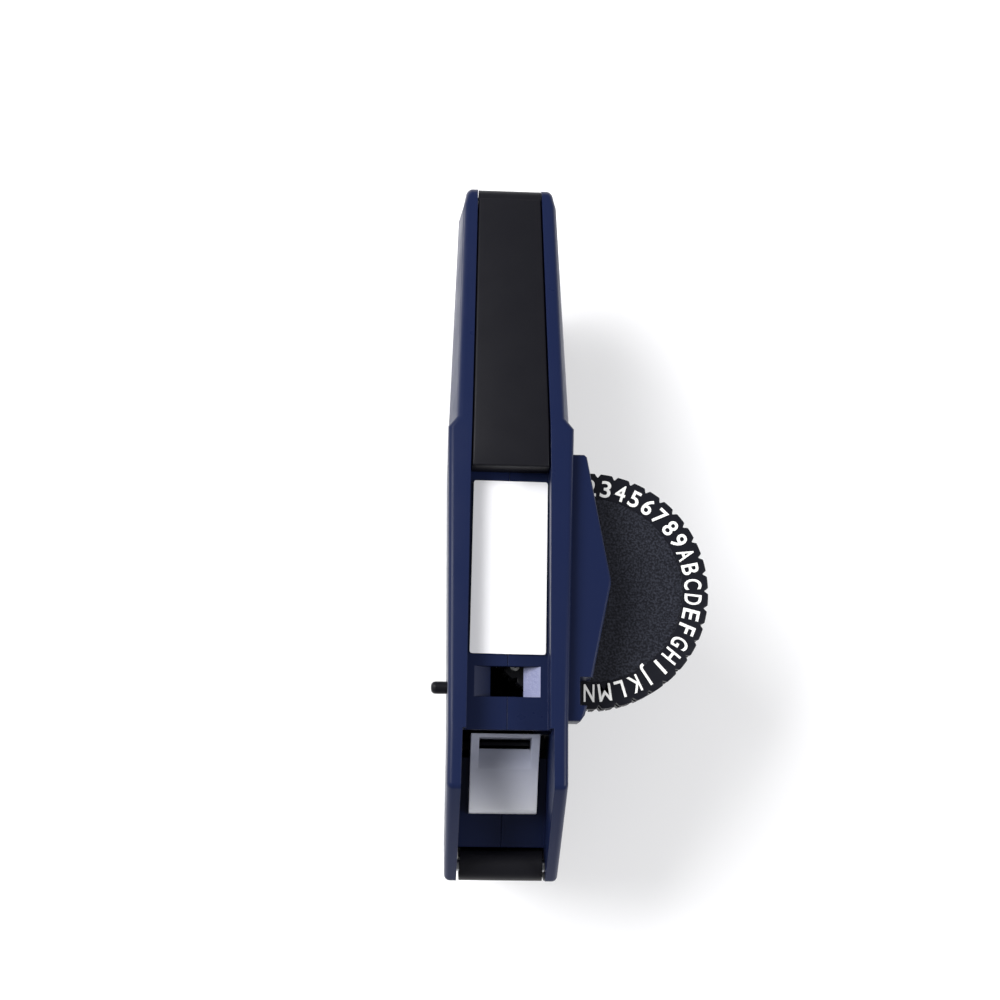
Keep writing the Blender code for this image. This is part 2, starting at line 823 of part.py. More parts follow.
def make_left_shell():
    hollow, lumps, cuts = shell_tools(-1)
    shell_mesh = shell_blank()
    shell_mesh.transform(Matrix.Diagonal((-1, 1, 1, 1)))
    shell_mesh.flip_normals()
    shell = add_part("left_body_shell", shade(shell_mesh), blue_abs)
    wall = inner_half_at(detent_root_y)
    lumps.append(add_tool("detent_seat", block(
        (-wall - wall_embed, detent_root_y - detent_seat_width / 2, die_bottom_z),
        (-wall + detent_seat_reach, detent_root_y + detent_seat_width / 2, tape_z))))
    cuts.append(add_tool("button_hole", rod(
        button_radius + running_gap, (-body_half - wall_embed, button_y, button_z),
        (-carrier_half, button_y, button_z), small_sides)))
    cut(shell, *hollow)
    join(shell, *lumps)
    cut(shell, *cuts)
    return shell


def bridge_outline(inner_x):
    return (
        (inner_x, bridge_rear_y),
        (bridge_rear_x - bridge_edge_round, bridge_rear_y),
        (bridge_rear_x, bridge_rear_y - bridge_edge_round),
        (bridge_apex_x, bridge_edge_round),
        (bridge_apex_x, -bridge_edge_round),
        (bridge_front_x, bridge_front_y + bridge_corner_length),
        (bridge_front_x - bridge_corner_width / 4, bridge_front_y + bridge_corner_length / 2),
        (bridge_front_x - bridge_corner_width, bridge_front_y),
        (inner_x, bridge_front_y),
    )


def make_right_shell():
    hollow, lumps, cuts = shell_tools(1)
    shell = add_part("right_body_shell", shade(shell_blank()), blue_abs)
    inner_x = inner_half_at(bridge_front_y) + body_wall / 2
    bridge_low = dial_top_z + rest_gap + dial_running_gap
    bridge = slab_bmesh([bridge_outline(inner_x)], "XY", bridge_low, top_z - bridge_depth)
    upper = [
        edge for edge in bridge.edges
        if min(vert.co.z for vert in edge.verts) > bridge_low + bridge_edge_round
        and max(vert.co.x for vert in edge.verts) > inner_x + bridge_edge_round
    ]
    bmesh.ops.bevel(bridge, geom=upper, offset=bridge_edge_round, segments=2, profile=0.5, affect="EDGES")
    bracket_top = die_bottom_z - dial_running_gap
    bracket = slab(
        ((inner_x, -bracket_half_length), (dial_x - bracket_inset, -bracket_half_length + bracket_apex_half),
         (bridge_apex_x, -bracket_apex_half), (bridge_apex_x, bracket_apex_half),
         (dial_x - bracket_inset, bracket_half_length - bracket_apex_half), (inner_x, bracket_half_length)),
        "XY", bracket_top - bracket_thickness, bracket_top)
    lumps += [add_tool("dial_bridge", mesh_of(bridge)), add_tool("dial_bracket", bracket)]
    seat_low = carrier_top_z + rest_gap + cutter_spring_height
    lumps.append(add_tool("cutter_spring_seat", block(
        (cutter_spring_x - cutter_spring_radius - cutter_spring_wire,
         cutter_spring_y - cutter_spring_radius - cutter_spring_wire / 2, seat_low),
        (inner_half_at(roller_y) + wall_embed,
         cutter_spring_y + cutter_spring_radius + cutter_spring_wire / 2, seat_low + cutter_seat_thickness))))
    notch = block((notch_x, -dial_radius, dial_top_z), (2 * dial_x, notch_length - dial_radius, top_z))
    dial_room = rod(dial_radius + dial_running_gap, (dial_x, 0, die_bottom_z - dial_running_gap),
                    (dial_x, 0, bridge_low), 2 * round_sides)
    axle_hole = rod(axle_radius + running_gap, (dial_x, 0, bracket_top - 2 * bracket_thickness),
                    (dial_x, 0, axle_top_z + rest_gap))
    cuts += [
        add_tool("letter_notch", notch),
        add_tool("dial_room", dial_room),
        add_tool("axle_hole", axle_hole),
    ]
    cut(shell, *hollow)
    join(shell, *lumps)
    cut(shell, *cuts)
    return shell


axle_top_z = top_z - bridge_depth - body_wall
cutter_spring_x = carrier_half - cutter_spring_radius - cutter_spring_wire / 2
cutter_spring_y = chute_y + rest_gap + cutter_spring_radius + cutter_spring_wire / 2

make_left_shell()
make_right_shell()


# Squeeze lever, its hinge pin, its cross pin and its return spring


def make_lever():
    barrel = (hinge_y, hinge_z)
    outline = rounded((
        (hinge_y + barrel_radius, hinge_z, 0),
        (hinge_y + lever_horn_share * barrel_radius, lever_hump_z, 2 * outline_round),
        (nose_break_y, lever_cheek_z, 3 * outline_round),
        (-2 * lever_hump_half, lever_cheek_z, 2 * outline_round),
        (-lever_hump_half, lever_hump_z, outline_round),
        (lever_hump_half, lever_hump_z, 2 * outline_round),
        (2 * lever_hump_half, lever_flange_height, 2 * outline_round),
        (lever_end_y, lever_flange_height, 2 * outline_round),
        (lever_end_y, 0, 2 * outline_round),
        (lever_toe_y, 0, 2 * outline_round),
        (hinge_y - barrel_radius, hinge_z - 2 * barrel_radius, outline_round),
        (hinge_y - barrel_radius, hinge_z, 0),
    ))
    mesh = slab(outline, "YZ", -lever_half, lever_half)
    lever = add_part("trigger_lever", shade(mesh), black_abs, (0, hinge_y, hinge_z))
    join(lever, add_tool("lever_barrel", rod(
        barrel_radius, (-lever_half, *barrel), (lever_half, *barrel), 2 * small_sides)))
    hollow = (
        (hinge_y - barrel_radius + lever_front_wall, hinge_z - lever_hollow_share * barrel_radius),
        (lever_toe_y + lever_toe_share * lever_front_wall, lever_floor),
        (lever_end_y - lever_wall, lever_floor),
        (lever_end_y - lever_wall, 2 * lever_hump_z),
        (nose_break_y, 2 * lever_hump_z),
        (hinge_y + barrel_radius + lever_wall, hinge_z),
    )
    inner = lever_half - lever_wall
    cut(lever, add_tool("lever_hollow", slab(hollow, "YZ", -inner, inner)))
    cut(lever, add_tool("lever_pin_bore", rod(
        hinge_pin_radius + running_gap, (-body_half, *barrel), (body_half, *barrel))))
    cut(lever, add_tool("press_pin_bore", rod(
        press_pin_radius + rest_gap / 3, (-body_half, 0, press_pin_z), (body_half, 0, press_pin_z))))
    return lever


make_lever()
pin_half = cavity_tip_half + hinge_pin_reach
turned("lever_hinge_pin", pin_profile(hinge_pin_radius, pin_half, rest_gap), plain_steel,
       (0, hinge_y, hinge_z), round_sides, across=1)
turned("press_pin", pin_profile(press_pin_radius, lever_half - rest_gap, rest_gap), plain_steel,
       (0, 0, press_pin_z), round_sides, across=1)
coil("lever_return_spring", (0, lever_spring_y), lever_floor + rest_gap,
     top_z - spring_seat_drop - rest_gap, lever_spring_radius, lever_spring_wire, lever_spring_curls)


# Press: C-shaped frame, anvil, plunger and plunger spring


def make_press():
    back = -inner_half_at(0) + rest_gap
    anvil_top = dial_top_z + rest_gap + anvil_thickness
    arm_low = anvil_top + rest_gap
    roof_z = top_z - roof_depth - rest_gap
    outline = (
        (back, frame_foot_z),
        (-back, frame_foot_z),
        (-back, frame_foot_top_z),
        (back + frame_back, frame_foot_top_z),
        (back + frame_back, arm_low),
        (frame_arm_reach, arm_low),
        (frame_arm_reach, roof_z),
        (back, roof_z),
    )
    frame = add_part("press_frame", slab(outline, "XZ", -frame_half_length, frame_half_length), plain_steel)
    guide = plunger_half + running_gap
    cut(frame, add_tool("plunger_guide", block(
        (-guide, -guide, frame_foot_z - cut_overrun), (guide, guide, frame_foot_top_z + cut_overrun))))
    turned("press_anvil", pin_profile(anvil_radius, anvil_thickness / 2, rest_gap), plain_steel,
           (0, 0, anvil_top - anvil_thickness / 2), round_sides)

    foot_top = plunger_foot_z + plunger_foot_height
    stem = soften(block((-plunger_half, -plunger_half, foot_top - cut_overrun),
                        (plunger_half, plunger_half, plunger_top_z)), rest_gap)
    plunger = add_part("embossing_plunger", stem, plain_steel, (0, 0, plunger_foot_z))
    arm_left = ratchet_x + pawl_thickness / 2 + rest_gap
    join(plunger,
         add_tool("plunger_foot", block(
             (-plunger_foot_half, -plunger_foot_half, plunger_foot_z),
             (plunger_foot_half, plunger_foot_half, foot_top))),
         add_tool("pawl_arm", block(
             (arm_left, pawl_y - pawl_eye_radius, plunger_foot_z),
             (arm_left + pawl_arm_width, -plunger_half, foot_top))),
         add_tool("pawl_pivot", rod(
             pawl_pin_radius, (arm_left + pawl_arm_width / 2, pawl_y, pawl_z),
             (ratchet_x - pawl_thickness / 2 - rest_gap / 2, pawl_y, pawl_z), small_sides)))
    coil("plunger_spring", (0, 0), foot_top + rest_gap, frame_foot_z - rest_gap,
         plunger_spring_radius, plunger_spring_wire, plunger_spring_curls)


pawl_y = roller_y + ratchet_radius + pawl_offset_y
pawl_z = plunger_foot_z + plunger_foot_height / 2
make_press()


# Character dial: lobed face, punch wheel, die wheel and axle


def lobed_rim():
    """Outline of the dial's rim: a lobe between each two characters, with a valley at each one."""
    points = []
    pitch = 2 * math.pi / dial_characters
    shares = (-dial_lobe_share / 2, dial_lobe_share / 2, 1 / 2)
    radii = (dial_radius, dial_radius, dial_valley_radius)
    for lobe in range(dial_characters):
        for share, radius in zip(shares, radii):
            turn = (lobe + 0.5 + share) * pitch
            points.append((radius * math.cos(turn), radius * math.sin(turn)))
    return points


def fingered_rim(radius):
    """Outline of a disc that is slit into one finger for each character."""
    points = []
    pitch = 2 * math.pi / dial_characters
    for finger in range(dial_characters):
        middle = (finger + 0.5) * pitch
        for reach, sign in ((radius, -1), (finger_root_radius, -1), (finger_root_radius, 1), (radius, 1)):
            turn = middle + sign * math.asin(finger_slot / 2 / reach)
            points.append((reach * math.cos(turn), reach * math.sin(turn)))
    return points


def make_dial():
    bore = circle(axle_radius + running_gap, round_sides)
    face = add_part("dial_face", slab(
        lobed_rim(), "XY", dial_top_z - dial_face_thickness, dial_top_z, [bore]), black_abs)
    face.location = (dial_x, 0, 0)

    punch_low = punch_top_z - punch_disc_thickness
    wheel = slab_bmesh([fingered_rim(punch_disc_radius), bore], "XY", punch_low, punch_top_z)
    punches = add_part("punch_wheel", mesh_of(wheel), plain_steel)
    punches.location = (dial_x, 0, 0)
    stamps = bmesh.new()
    for character in range(dial_characters):
        turn = Matrix.Rotation(2 * math.pi * character / dial_characters, 4, "Z")
        made = bmesh.ops.create_cube(stamps, size=1)["verts"]
        bmesh.ops.scale(stamps, vec=(punch_length, punch_width, 2 * punch_height), verts=made)
        bmesh.ops.translate(stamps, vec=(dial_x, 0, punch_low), verts=made)
        bmesh.ops.transform(stamps, matrix=turn, verts=made)
    stamp_tool = add_tool("punch_letters", plain_mesh(stamps))
    stamp_tool.location = (dial_x, 0, 0)
    join(punches, stamp_tool)

    dies = add_part("die_wheel", slab(lobed_rim(), "XY", die_bottom_z, die_top_z, [bore]), black_abs)
    dies.location = (dial_x, 0, 0)
    slits = bmesh.new()
    for finger in range(dial_characters):
        turn = Matrix.Rotation(2 * math.pi * (finger + 0.5) / dial_characters, 4, "Z")
        made = bmesh.ops.create_cube(slits, size=1)["verts"]
        bmesh.ops.scale(slits, vec=(dial_radius, finger_slot, 2 * die_rim_height), verts=made)
        bmesh.ops.translate(
            slits, vec=(finger_root_radius + dial_radius / 2, 0, die_top_z - die_rim_height / 2), verts=made)
        bmesh.ops.transform(slits, matrix=turn, verts=made)
    dish = add_tool("die_dish", slab(
        circle(die_rim_inner_radius, 2 * round_sides), "XY", die_bottom_z - cut_overrun,
        die_top_z - die_disc_thickness, [circle(dial_hub_radius, round_sides)]))
    slit_tool = add_tool("die_slits", plain_mesh(slits))
    for tool in (dish, slit_tool):
        tool.location = (dial_x, 0, 0)
    cut(dies, dish, slit_tool)

    head_top = die_bottom_z - dial_running_gap - bracket_thickness - rest_gap
    turned("dial_axle", (
        (0, axle_top_z), (axle_radius - rest_gap, axle_top_z), (axle_radius, axle_top_z - rest_gap),
        (axle_radius, head_top),
        (axle_head_radius, head_top),
        (axle_head_radius, head_top - axle_head_height),
        (0, head_top - axle_head_height)), plain_steel, (dial_x, 0, 0), round_sides)

    touch = Vector((math.cos(detent_angle), math.sin(detent_angle)))
    nose = Vector((dial_x, 0)) + touch * (dial_radius + 2 * rest_gap)
    root_x = -inner_half_at(detent_root_y) + detent_seat_reach + rest_gap
    tangent = Vector((touch.y, -touch.x))
    path = (
        Vector((root_x, detent_root_y + detent_seat_width / 2)),
        Vector((root_x, detent_root_y - detent_seat_width / 2)),
        nose + touch * punch_width + tangent * punch_length,
        nose,
        nose + touch * punch_width / 2 - tangent * punch_length / 2,
    )
    add_part("dial_detent_spring", slab(
        strip(path, detent_thickness), "XY", die_bottom_z, die_bottom_z + detent_height), spring_steel)


def strip(path, thickness):
    """Outline of a bent strip of even thickness that follows a path."""
    sides = ([], [])
    for index, here in enumerate(path):
        back = (here - path[max(index - 1, 0)]).normalized()
        ahead = (path[min(index + 1, len(path) - 1)] - here).normalized()
        along = (back + ahead).normalized()
        across = Vector((-along.y, along.x)) * (thickness / 2) / max(along.dot(ahead), along.dot(back))
        sides[0].append(here + across)
        sides[1].append(here - across)
    return sides[0] + sides[1][::-1]


make_dial()


# Feed rollers, ratchet and pawl


def make_feed():
    shaft_half = inner_half_at(roller_y) + shaft_seat_depth - rest_gap
    bore = roller_shaft_radius + running_gap
    rollers = (("feed_roller", feed_roller_half, feed_z), ("pinch_roller", pinch_roller_half, pinch_z))
    for name, half, z in rollers:
        turned(name, (
            (roller_radius - roller_groove, half), (roller_radius, half - roller_groove),
            (roller_radius, half / 3), (roller_radius - roller_groove, half / 4),
            (roller_radius - roller_groove, -half / 4), (roller_radius, -half / 3),
            (roller_radius, roller_groove - half), (roller_radius - roller_groove, -half),
            (bore, -half), (bore, half)), black_rubber, (0, roller_y, z), round_sides, across=1, hollow=True)
        turned(f"{name}_shaft", pin_profile(roller_shaft_radius, shaft_half, roller_groove), plain_steel,
               (0, roller_y, z), small_sides, across=1)
    teeth = []
    for tooth in range(ratchet_teeth):
        turn = 2 * math.pi * tooth / ratchet_teeth
        teeth.append((ratchet_radius * math.cos(turn), ratchet_radius * math.sin(turn)))
        root = turn + 2 * math.pi / ratchet_teeth * ratchet_root_share
        teeth.append((ratchet_root_radius * math.cos(root), ratchet_root_radius * math.sin(root)))
    ratchet = slab(teeth, "YZ", -ratchet_width / 2, ratchet_width / 2, [circle(bore, small_sides)])
    wheel = add_part("feed_ratchet_wheel", ratchet, plain_steel)
    wheel.location = (ratchet_x, roller_y, feed_z)

    tip_y = roller_y + ratchet_radius + rest_gap
    tip_z = feed_z - ratchet_radius + pawl_width / 2
    outline = (
        (pawl_y - pawl_eye_radius, pawl_z - pawl_eye_radius),
        (pawl_y + pawl_eye_radius / 2, pawl_z - pawl_eye_radius),
        (pawl_y + pawl_eye_radius, pawl_z),
        (pawl_y + pawl_width, tip_z - pawl_width),
        (pawl_y + pawl_width / 2, tip_z),
        (tip_y, tip_z),
        (pawl_y, tip_z - pawl_width),
        (pawl_y - pawl_eye_radius, pawl_z + pawl_eye_radius),
    )
    pawl = slab(outline, "YZ", ratchet_x - pawl_thickness / 2, ratchet_x + pawl_thickness / 2)
    piece = add_part("feed_pawl", pawl, spring_steel, (ratchet_x, pawl_y, pawl_z))
    cut(piece, add_tool("pawl_bore", rod(
        pawl_pin_radius + running_gap, (2 * ratchet_x, pawl_y, pawl_z), (0, pawl_y, pawl_z), small_sides)))


make_feed()


# Tape chute and cutter


def make_chute():
    top_rear = top_z - chute_rear_depth
    top_front = top_z - chute_front_depth
    front_y = chute_y - chute_length
    web_rear_y = cavity_y - web_rear_setback
    web_front_y = hinge_y + barrel_radius + web_front_gap
    web_fall = (web_front_depth - web_rear_depth) / (web_rear_y - web_front_y)

    def web_top(y):
        return top_z - web_rear_depth + (y - web_rear_y) * web_fall + rest_gap

    tape_floor = tape_z - tape_floor_drop
    bend_at = chute_y - chute_bend_reach
    outline = rounded((
        (chute_y, top_rear, 0),
        (chute_y, chute_bottom_z, 0),
        (web_rear_y, chute_bottom_z, 0),
        (web_rear_y, web_top(web_rear_y), 0),
        (front_y, web_top(front_y), 0),
        (front_y, top_front, chute_lip_round),
        (bend_at, tape_floor, chute_bend_round),
    ))
    chute = add_part("tape_chute", shade(slab(outline, "YZ", -chute_half, chute_half)), milky_acetal)
    inner = chute_half - chute_wall
    slope = (tape_floor - top_front) / (bend_at - front_y)
    skin = chute_skin / math.cos(math.atan(slope))
    ceiling = tape_floor - chute_wall
    nose_y = front_y + chute_skin
    hollow = (
        (chute_y - chute_bar, ceiling),
        (bend_at + chute_skin, ceiling),
        (bend_at, tape_floor - skin),
        (nose_y, top_front + slope * chute_skin - skin),
        (nose_y, carrier_z),
        (chute_y - chute_bar, carrier_z),
    )
    cut(chute, add_tool("chute_hollow", slab(hollow, "YZ", -inner, inner)))
    slot_front = chute_y - chute_bar - tape_slot_length
    cut(chute,
        add_tool("blade_slot", block((-tape_slot_half, slot_front, carrier_z),
                                     (tape_slot_half, chute_y - chute_bar, top_z))),
        add_tool("tape_entry", block((-tape_slot_half, slot_front + cut_overrun, tape_floor),
                                     (tape_slot_half, chute_y + cut_overrun, tape_floor + tape_slot_height))),
        add_tool("tape_groove", block((-tape_slot_half, front_y - cut_overrun, tape_floor),
                                      (tape_slot_half, slot_front + cut_overrun, top_z))))


def make_cutter():
    edge_low = blade_top_z - blade_rise
    blade_foot = carrier_top_z - carrier_height / 2
    add_part("cutter_blade", slab(
        ((-blade_half, blade_foot), (blade_half, blade_foot),
         (blade_half, blade_top_z), (-blade_half, edge_low)),
        "XZ", blade_y - blade_thickness / 2, blade_y + blade_thickness / 2), plain_steel)
    ramp = wedge_length
    front = blade_y - carrier_thickness / 2
    rear = blade_y + carrier_thickness / 2
    carrier = add_part("cutter_carrier", slab(
        ((-carrier_half, carrier_z + ramp), (ramp - carrier_half, carrier_z), (carrier_half, carrier_z),
         (carrier_half, carrier_top_z), (-carrier_half, carrier_top_z)),
        "XZ", front, rear), black_abs)
    join(carrier, add_tool("spring_foot", block(
        (carrier_half - carrier_foot_width, front, carrier_top_z - carrier_foot_height),
        (carrier_half, cutter_spring_y + cutter_spring_radius + cutter_spring_wire / 2, carrier_top_z))))
    cut(carrier, add_tool("blade_seat", block(
        (-blade_half - rest_gap, blade_y - blade_thickness / 2 - rest_gap, blade_foot - rest_gap),
        (blade_half + rest_gap, blade_y + blade_thickness / 2 + rest_gap, carrier_top_z + cut_overrun))))
    coil("cutter_spring", (cutter_spring_x, cutter_spring_y), carrier_top_z + rest_gap,
         carrier_top_z + cutter_spring_height, cutter_spring_radius, cutter_spring_wire, cutter_spring_curls)

    tip_x = -body_half_at(button_y) - button_proud
    arm_left = -carrier_half - rest_gap / 3
    arm_right = arm_left + button_arm_thickness
    round_end = button_round_share * button_radius
    pin = bmesh.new()
    pin.from_mesh(rod(
        button_radius, (tip_x, button_y, button_z), (arm_right, button_y, button_z), small_sides))
    tip_edges = [edge for edge in pin.edges if max(vert.co.x for vert in edge.verts) < tip_x + round_end]
    bmesh.ops.bevel(pin, geom=tip_edges, offset=round_end, segments=3, profile=0.5, affect="EDGES")
    button = add_part("cutter_button", shade(mesh_of(pin)), black_abs, (tip_x, button_y, button_z))
    wedge_z = carrier_z - rest_gap
    elbow_z = wedge_z + ramp / 3 - button_arm_width / 2
    arm_path = (Vector((button_y, button_z + button_arm_width / 3)), Vector((button_y, button_z)),
                Vector((rear + button_arm_width / 3, elbow_z)), Vector((front, elbow_z)))
    wedge_low = wedge_z - ramp / 4
    wedge = slab(
        ((arm_left, wedge_low), (arm_left + ramp * 5 / 4, wedge_low), (arm_left, wedge_z + ramp)),
        "XZ", front, rear)
    join(button,
         add_tool("button_arm", slab(strip(arm_path, button_arm_width), "YZ", arm_left, arm_right)),
         add_tool("button_wedge", wedge))


make_chute()
make_cutter()


# Tape magazine, cover, label and screws


def make_magazine():
    outer = magazine_radius + magazine_wall
    top = roof_depth + rest_gap

    def pocket(radius, lift):
        arc = [
            (magazine_y + radius * math.cos(turn), magazine_z + radius * math.sin(turn))
            for turn in (math.pi + math.pi * step / round_sides for step in range(round_sides + 1))
        ]
        rear = (magazine_y + radius, roof(magazine_y + radius, top) + lift)
        bend = (bend_y(top), top_z - top + lift)
        front = (magazine_y - radius, top_z - top + lift)
        return arc + ([rear, bend, front] if bend[0] > front[0] else [rear, front])

    half = magazine_half + magazine_wall
    body = slab(pocket(outer, 0), "YZ", -half, half)
    magazine = add_part("tape_magazine", shade(body), black_abs)
    mouth_y = magazine_y - outer
    join(magazine, add_tool("magazine_snout", block(
        (-half, mouth_y - snout_length, tape_z - snout_height / 2),
        (half, mouth_y + snout_length, tape_z + snout_height / 2))))
    cut(magazine,
        add_tool("magazine_pocket", slab(
            pocket(magazine_radius, 2 * recess_floor), "YZ", -magazine_half, magazine_half)),
        add_tool("snout_slot", block(
            (-magazine_half, mouth_y - snout_length - cut_overrun, tape_z - snout_slot_height / 2),
            (magazine_half, magazine_y, tape_z + snout_slot_height / 2))))


def make_cover():
    front_y = cover_front_y
    skirt = recess_depth - rest_gap
    end_y = cover_axis_y
    outline = (
        (front_y, top_z - cover_sink),
        (front_y, top_z - skirt),
        (bend_y(skirt), top_z - skirt),
        (end_y - cover_curl_radius, roof(end_y - cover_curl_radius, skirt)),
        (end_y, cover_axis_z - cover_curl_radius / 3),
        (end_y, roof(end_y, cover_sink)),
        (bend_y(cover_sink), top_z - cover_sink),
    )
    stations = ((front_y, cover_half), (handle_end_y, cover_end_half))
    bm = tapered_bmesh(outline, stations, 0)
    for vert in bm.verts:
        if abs(vert.co.x) < weld_distance:
            vert.co.x = -width_at(vert.co.y, stations)
    cover = add_part("magazine_cover", shade(mesh_of(bm)), black_abs, (0, cover_axis_y, cover_axis_z))
    join(cover, add_tool("cover_curl", rod(
        cover_curl_radius, (-cover_end_half, cover_axis_y, cover_axis_z),
        (cover_end_half, cover_axis_y, cover_axis_z), 2 * small_sides)))
    inside_end = end_y - 2 * cover_curl_radius
    inside_depth = cover_sink + cover_skin
    inside = tapered_bmesh((
        (front_y + cover_skin, top_z - inside_depth),
        (front_y + cover_skin, 0),
        (inside_end, 0),
        (inside_end, roof(inside_end, inside_depth)),
        (bend_y(inside_depth), top_z - inside_depth),
    ), ((front_y, cover_half - cover_side_wall), (handle_end_y, cover_end_half - cover_side_wall)), 0)
    for vert in inside.verts:
        if abs(vert.co.x) < weld_distance:
            vert.co.x = -width_at(vert.co.y, ((front_y, cover_half - cover_side_wall),
                                              (handle_end_y, cover_end_half - cover_side_wall)))
    cut(cover, add_tool("cover_hollow", mesh_of(inside)), add_tool("cover_bore", rod(
        cover_pin_radius + running_gap, (-body_half, cover_axis_y, cover_axis_z),
        (body_half, cover_axis_y, cover_axis_z), small_sides)))
    turned("cover_hinge_pin", pin_profile(cover_pin_radius, recess_end_half + cover_pin_reach, rest_gap),
           plain_steel, (0, cover_axis_y, cover_axis_z), small_sides, across=1)


def make_label():
    low = recess_floor_z + rest_gap
    label = add_part("name_label", block(
        (-label_half, -label_length / 2, low),
        (label_half, label_length / 2, low + label_thickness)), white_paper)
    label.location = (label_shift, label_y, 0)
    label.rotation_euler = (0, 0, label_turn)


def make_screws():
    """Five screws that enter from the left side and hold the shells together."""
    for number, (y, depth) in enumerate(screw_places, 1):
        head_out = body_half_at(y) - screw_sink
        head_in = head_out - screw_head_height
        turned(f"body_screw_{number}", (
            (0, head_out), (screw_head_radius - rest_gap, head_out),
            (screw_head_radius, head_out - rest_gap), (screw_head_radius, head_in),
            (screw_radius, head_in), (screw_radius, -screw_grip), (0, -screw_grip)),
            plain_steel, (0, y, top_z - depth), small_sides, across=-1)


make_magazine()
make_cover()
make_label()
make_screws()
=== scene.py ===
"""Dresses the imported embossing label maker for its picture, piece by piece as it is put together."""

import math

import bmesh
import bpy
from mathutils import Matrix, Vector


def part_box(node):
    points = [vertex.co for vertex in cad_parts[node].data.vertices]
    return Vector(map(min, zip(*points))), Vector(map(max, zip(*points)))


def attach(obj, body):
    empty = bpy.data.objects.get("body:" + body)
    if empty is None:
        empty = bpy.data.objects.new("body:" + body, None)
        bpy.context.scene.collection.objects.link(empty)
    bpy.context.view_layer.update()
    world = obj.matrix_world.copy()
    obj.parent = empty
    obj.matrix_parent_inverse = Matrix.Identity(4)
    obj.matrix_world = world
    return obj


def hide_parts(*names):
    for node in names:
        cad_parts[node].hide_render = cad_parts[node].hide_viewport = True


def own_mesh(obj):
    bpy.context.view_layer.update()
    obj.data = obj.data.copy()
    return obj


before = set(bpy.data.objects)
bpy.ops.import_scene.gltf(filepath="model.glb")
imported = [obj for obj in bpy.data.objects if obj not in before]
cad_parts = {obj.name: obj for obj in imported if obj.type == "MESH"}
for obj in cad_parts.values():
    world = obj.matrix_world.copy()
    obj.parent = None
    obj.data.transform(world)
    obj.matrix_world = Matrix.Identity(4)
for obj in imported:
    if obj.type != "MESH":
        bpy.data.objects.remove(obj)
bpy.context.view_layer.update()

# Table, studio light and camera. The tool lies on white card under three softboxes: a large one
# high on the left, a long low one on the left that draws the bright lines along the shell's edges,
# and one on the right. The camera looks down from above the nose, with the handle at the top.

MM = 0.001
DEGREE = math.pi / 180


def linear(code):
    """The linear colour of an sRGB hex value."""
    shares = [int(code[place:place + 2], 16) / 255 for place in (1, 3, 5)]
    return tuple(
        share / 12.92 if share <= 0.04045 else ((share + 0.055) / 1.055) ** 2.4 for share in shares) + (1.0,)


def add_node(material, kind, values=None, links=None, **settings):
    """Adds one node, sets its properties and its sockets, and links its sockets to others."""
    made = material.node_tree.nodes.new(kind)
    for name, value in settings.items():
        setattr(made, name, value)
    for socket, value in (values or {}).items():
        made.inputs[socket].default_value = value
    for socket, source in (links or {}).items():
        material.node_tree.links.new(source, made.inputs[socket])
    return made


def new_finish(name, colour, roughness, **sockets):
    """A material with its Principled shader set: returns the material and the shader."""
    made = bpy.data.materials.new(name)
    made.use_nodes = True
    shader = made.node_tree.nodes["Principled BSDF"]
    shader.inputs["Base Color"].default_value = linear(colour)
    shader.inputs["Roughness"].default_value = roughness
    for socket, value in sockets.items():
        shader.inputs[socket.replace("_", " ")].default_value = value
    return made, shader


# Matt white card. A little light of its own brings it near the photo's plain white background.
white_card, card_shader = new_finish("white_card", "#DADADC", 0.9)
card_shader.inputs["Emission Color"].default_value = linear("#FFFFFF")
card_shader.inputs["Emission Strength"].default_value = 0.30

table_half = 1600 * MM
table_mesh = bpy.data.meshes.new("table")
table_mesh.from_pydata([
    (-table_half, -table_half, 0), (table_half, -table_half, 0),
    (table_half, table_half, 0), (-table_half, table_half, 0)], [], [(0, 1, 2, 3)])
table_mesh.materials.append(white_card)
table = bpy.data.objects.new("table", table_mesh)
bpy.context.scene.collection.objects.link(table)

world = bpy.data.worlds.new("soft_room")
world.use_nodes = True
backdrop = world.node_tree.nodes["Background"]
backdrop.inputs["Color"].default_value = (1, 1, 1, 1)
backdrop.inputs["Strength"].default_value = 0.34
bpy.context.scene.world = world
bpy.context.scene.view_settings.view_transform = "Standard"

tool_middle = (0, 20 * MM, 50 * MM)


def add_softbox(name, place, width, height, power):
    """A rectangular softbox that faces the tool's middle: sizes in metres, power in watts."""
    lamp = bpy.data.lights.new(name, "AREA")
    lamp.shape = "RECTANGLE"
    lamp.size = width
    lamp.size_y = height
    lamp.energy = power
    box = bpy.data.objects.new(name, lamp)
    box.location = place
    box.rotation_euler = (Vector(place) - Vector(tool_middle)).to_track_quat("Z", "Y").to_euler()
    bpy.context.scene.collection.objects.link(box)


add_softbox("high_softbox", (-700 * MM, 360 * MM, 860 * MM), 800 * MM, 600 * MM, 17)
add_softbox("left_softbox", (-800 * MM, 50 * MM, 500 * MM), 250 * MM, 900 * MM, 1.5)
add_softbox("right_softbox", (900 * MM, -200 * MM, 700 * MM), 500 * MM, 500 * MM, 8)

# Place, turn and focal length put the tool's outline where the photo has it
camera_place = (-16.70 * MM, -59.57 * MM, 395.48 * MM)
camera_turn = (13.966 * DEGREE, -2.693 * DEGREE, 0.7 * DEGREE)
focal_length_mm = 46.8
lens_data = bpy.data.cameras.new("camera")
lens_data.lens = focal_length_mm
lens_data.sensor_width = 36
lens_data.clip_start = 10 * MM
camera = bpy.data.objects.new("camera", lens_data)
camera.location = camera_place
camera.rotation_euler = camera_turn
bpy.context.scene.collection.objects.link(camera)
bpy.context.scene.camera = camera

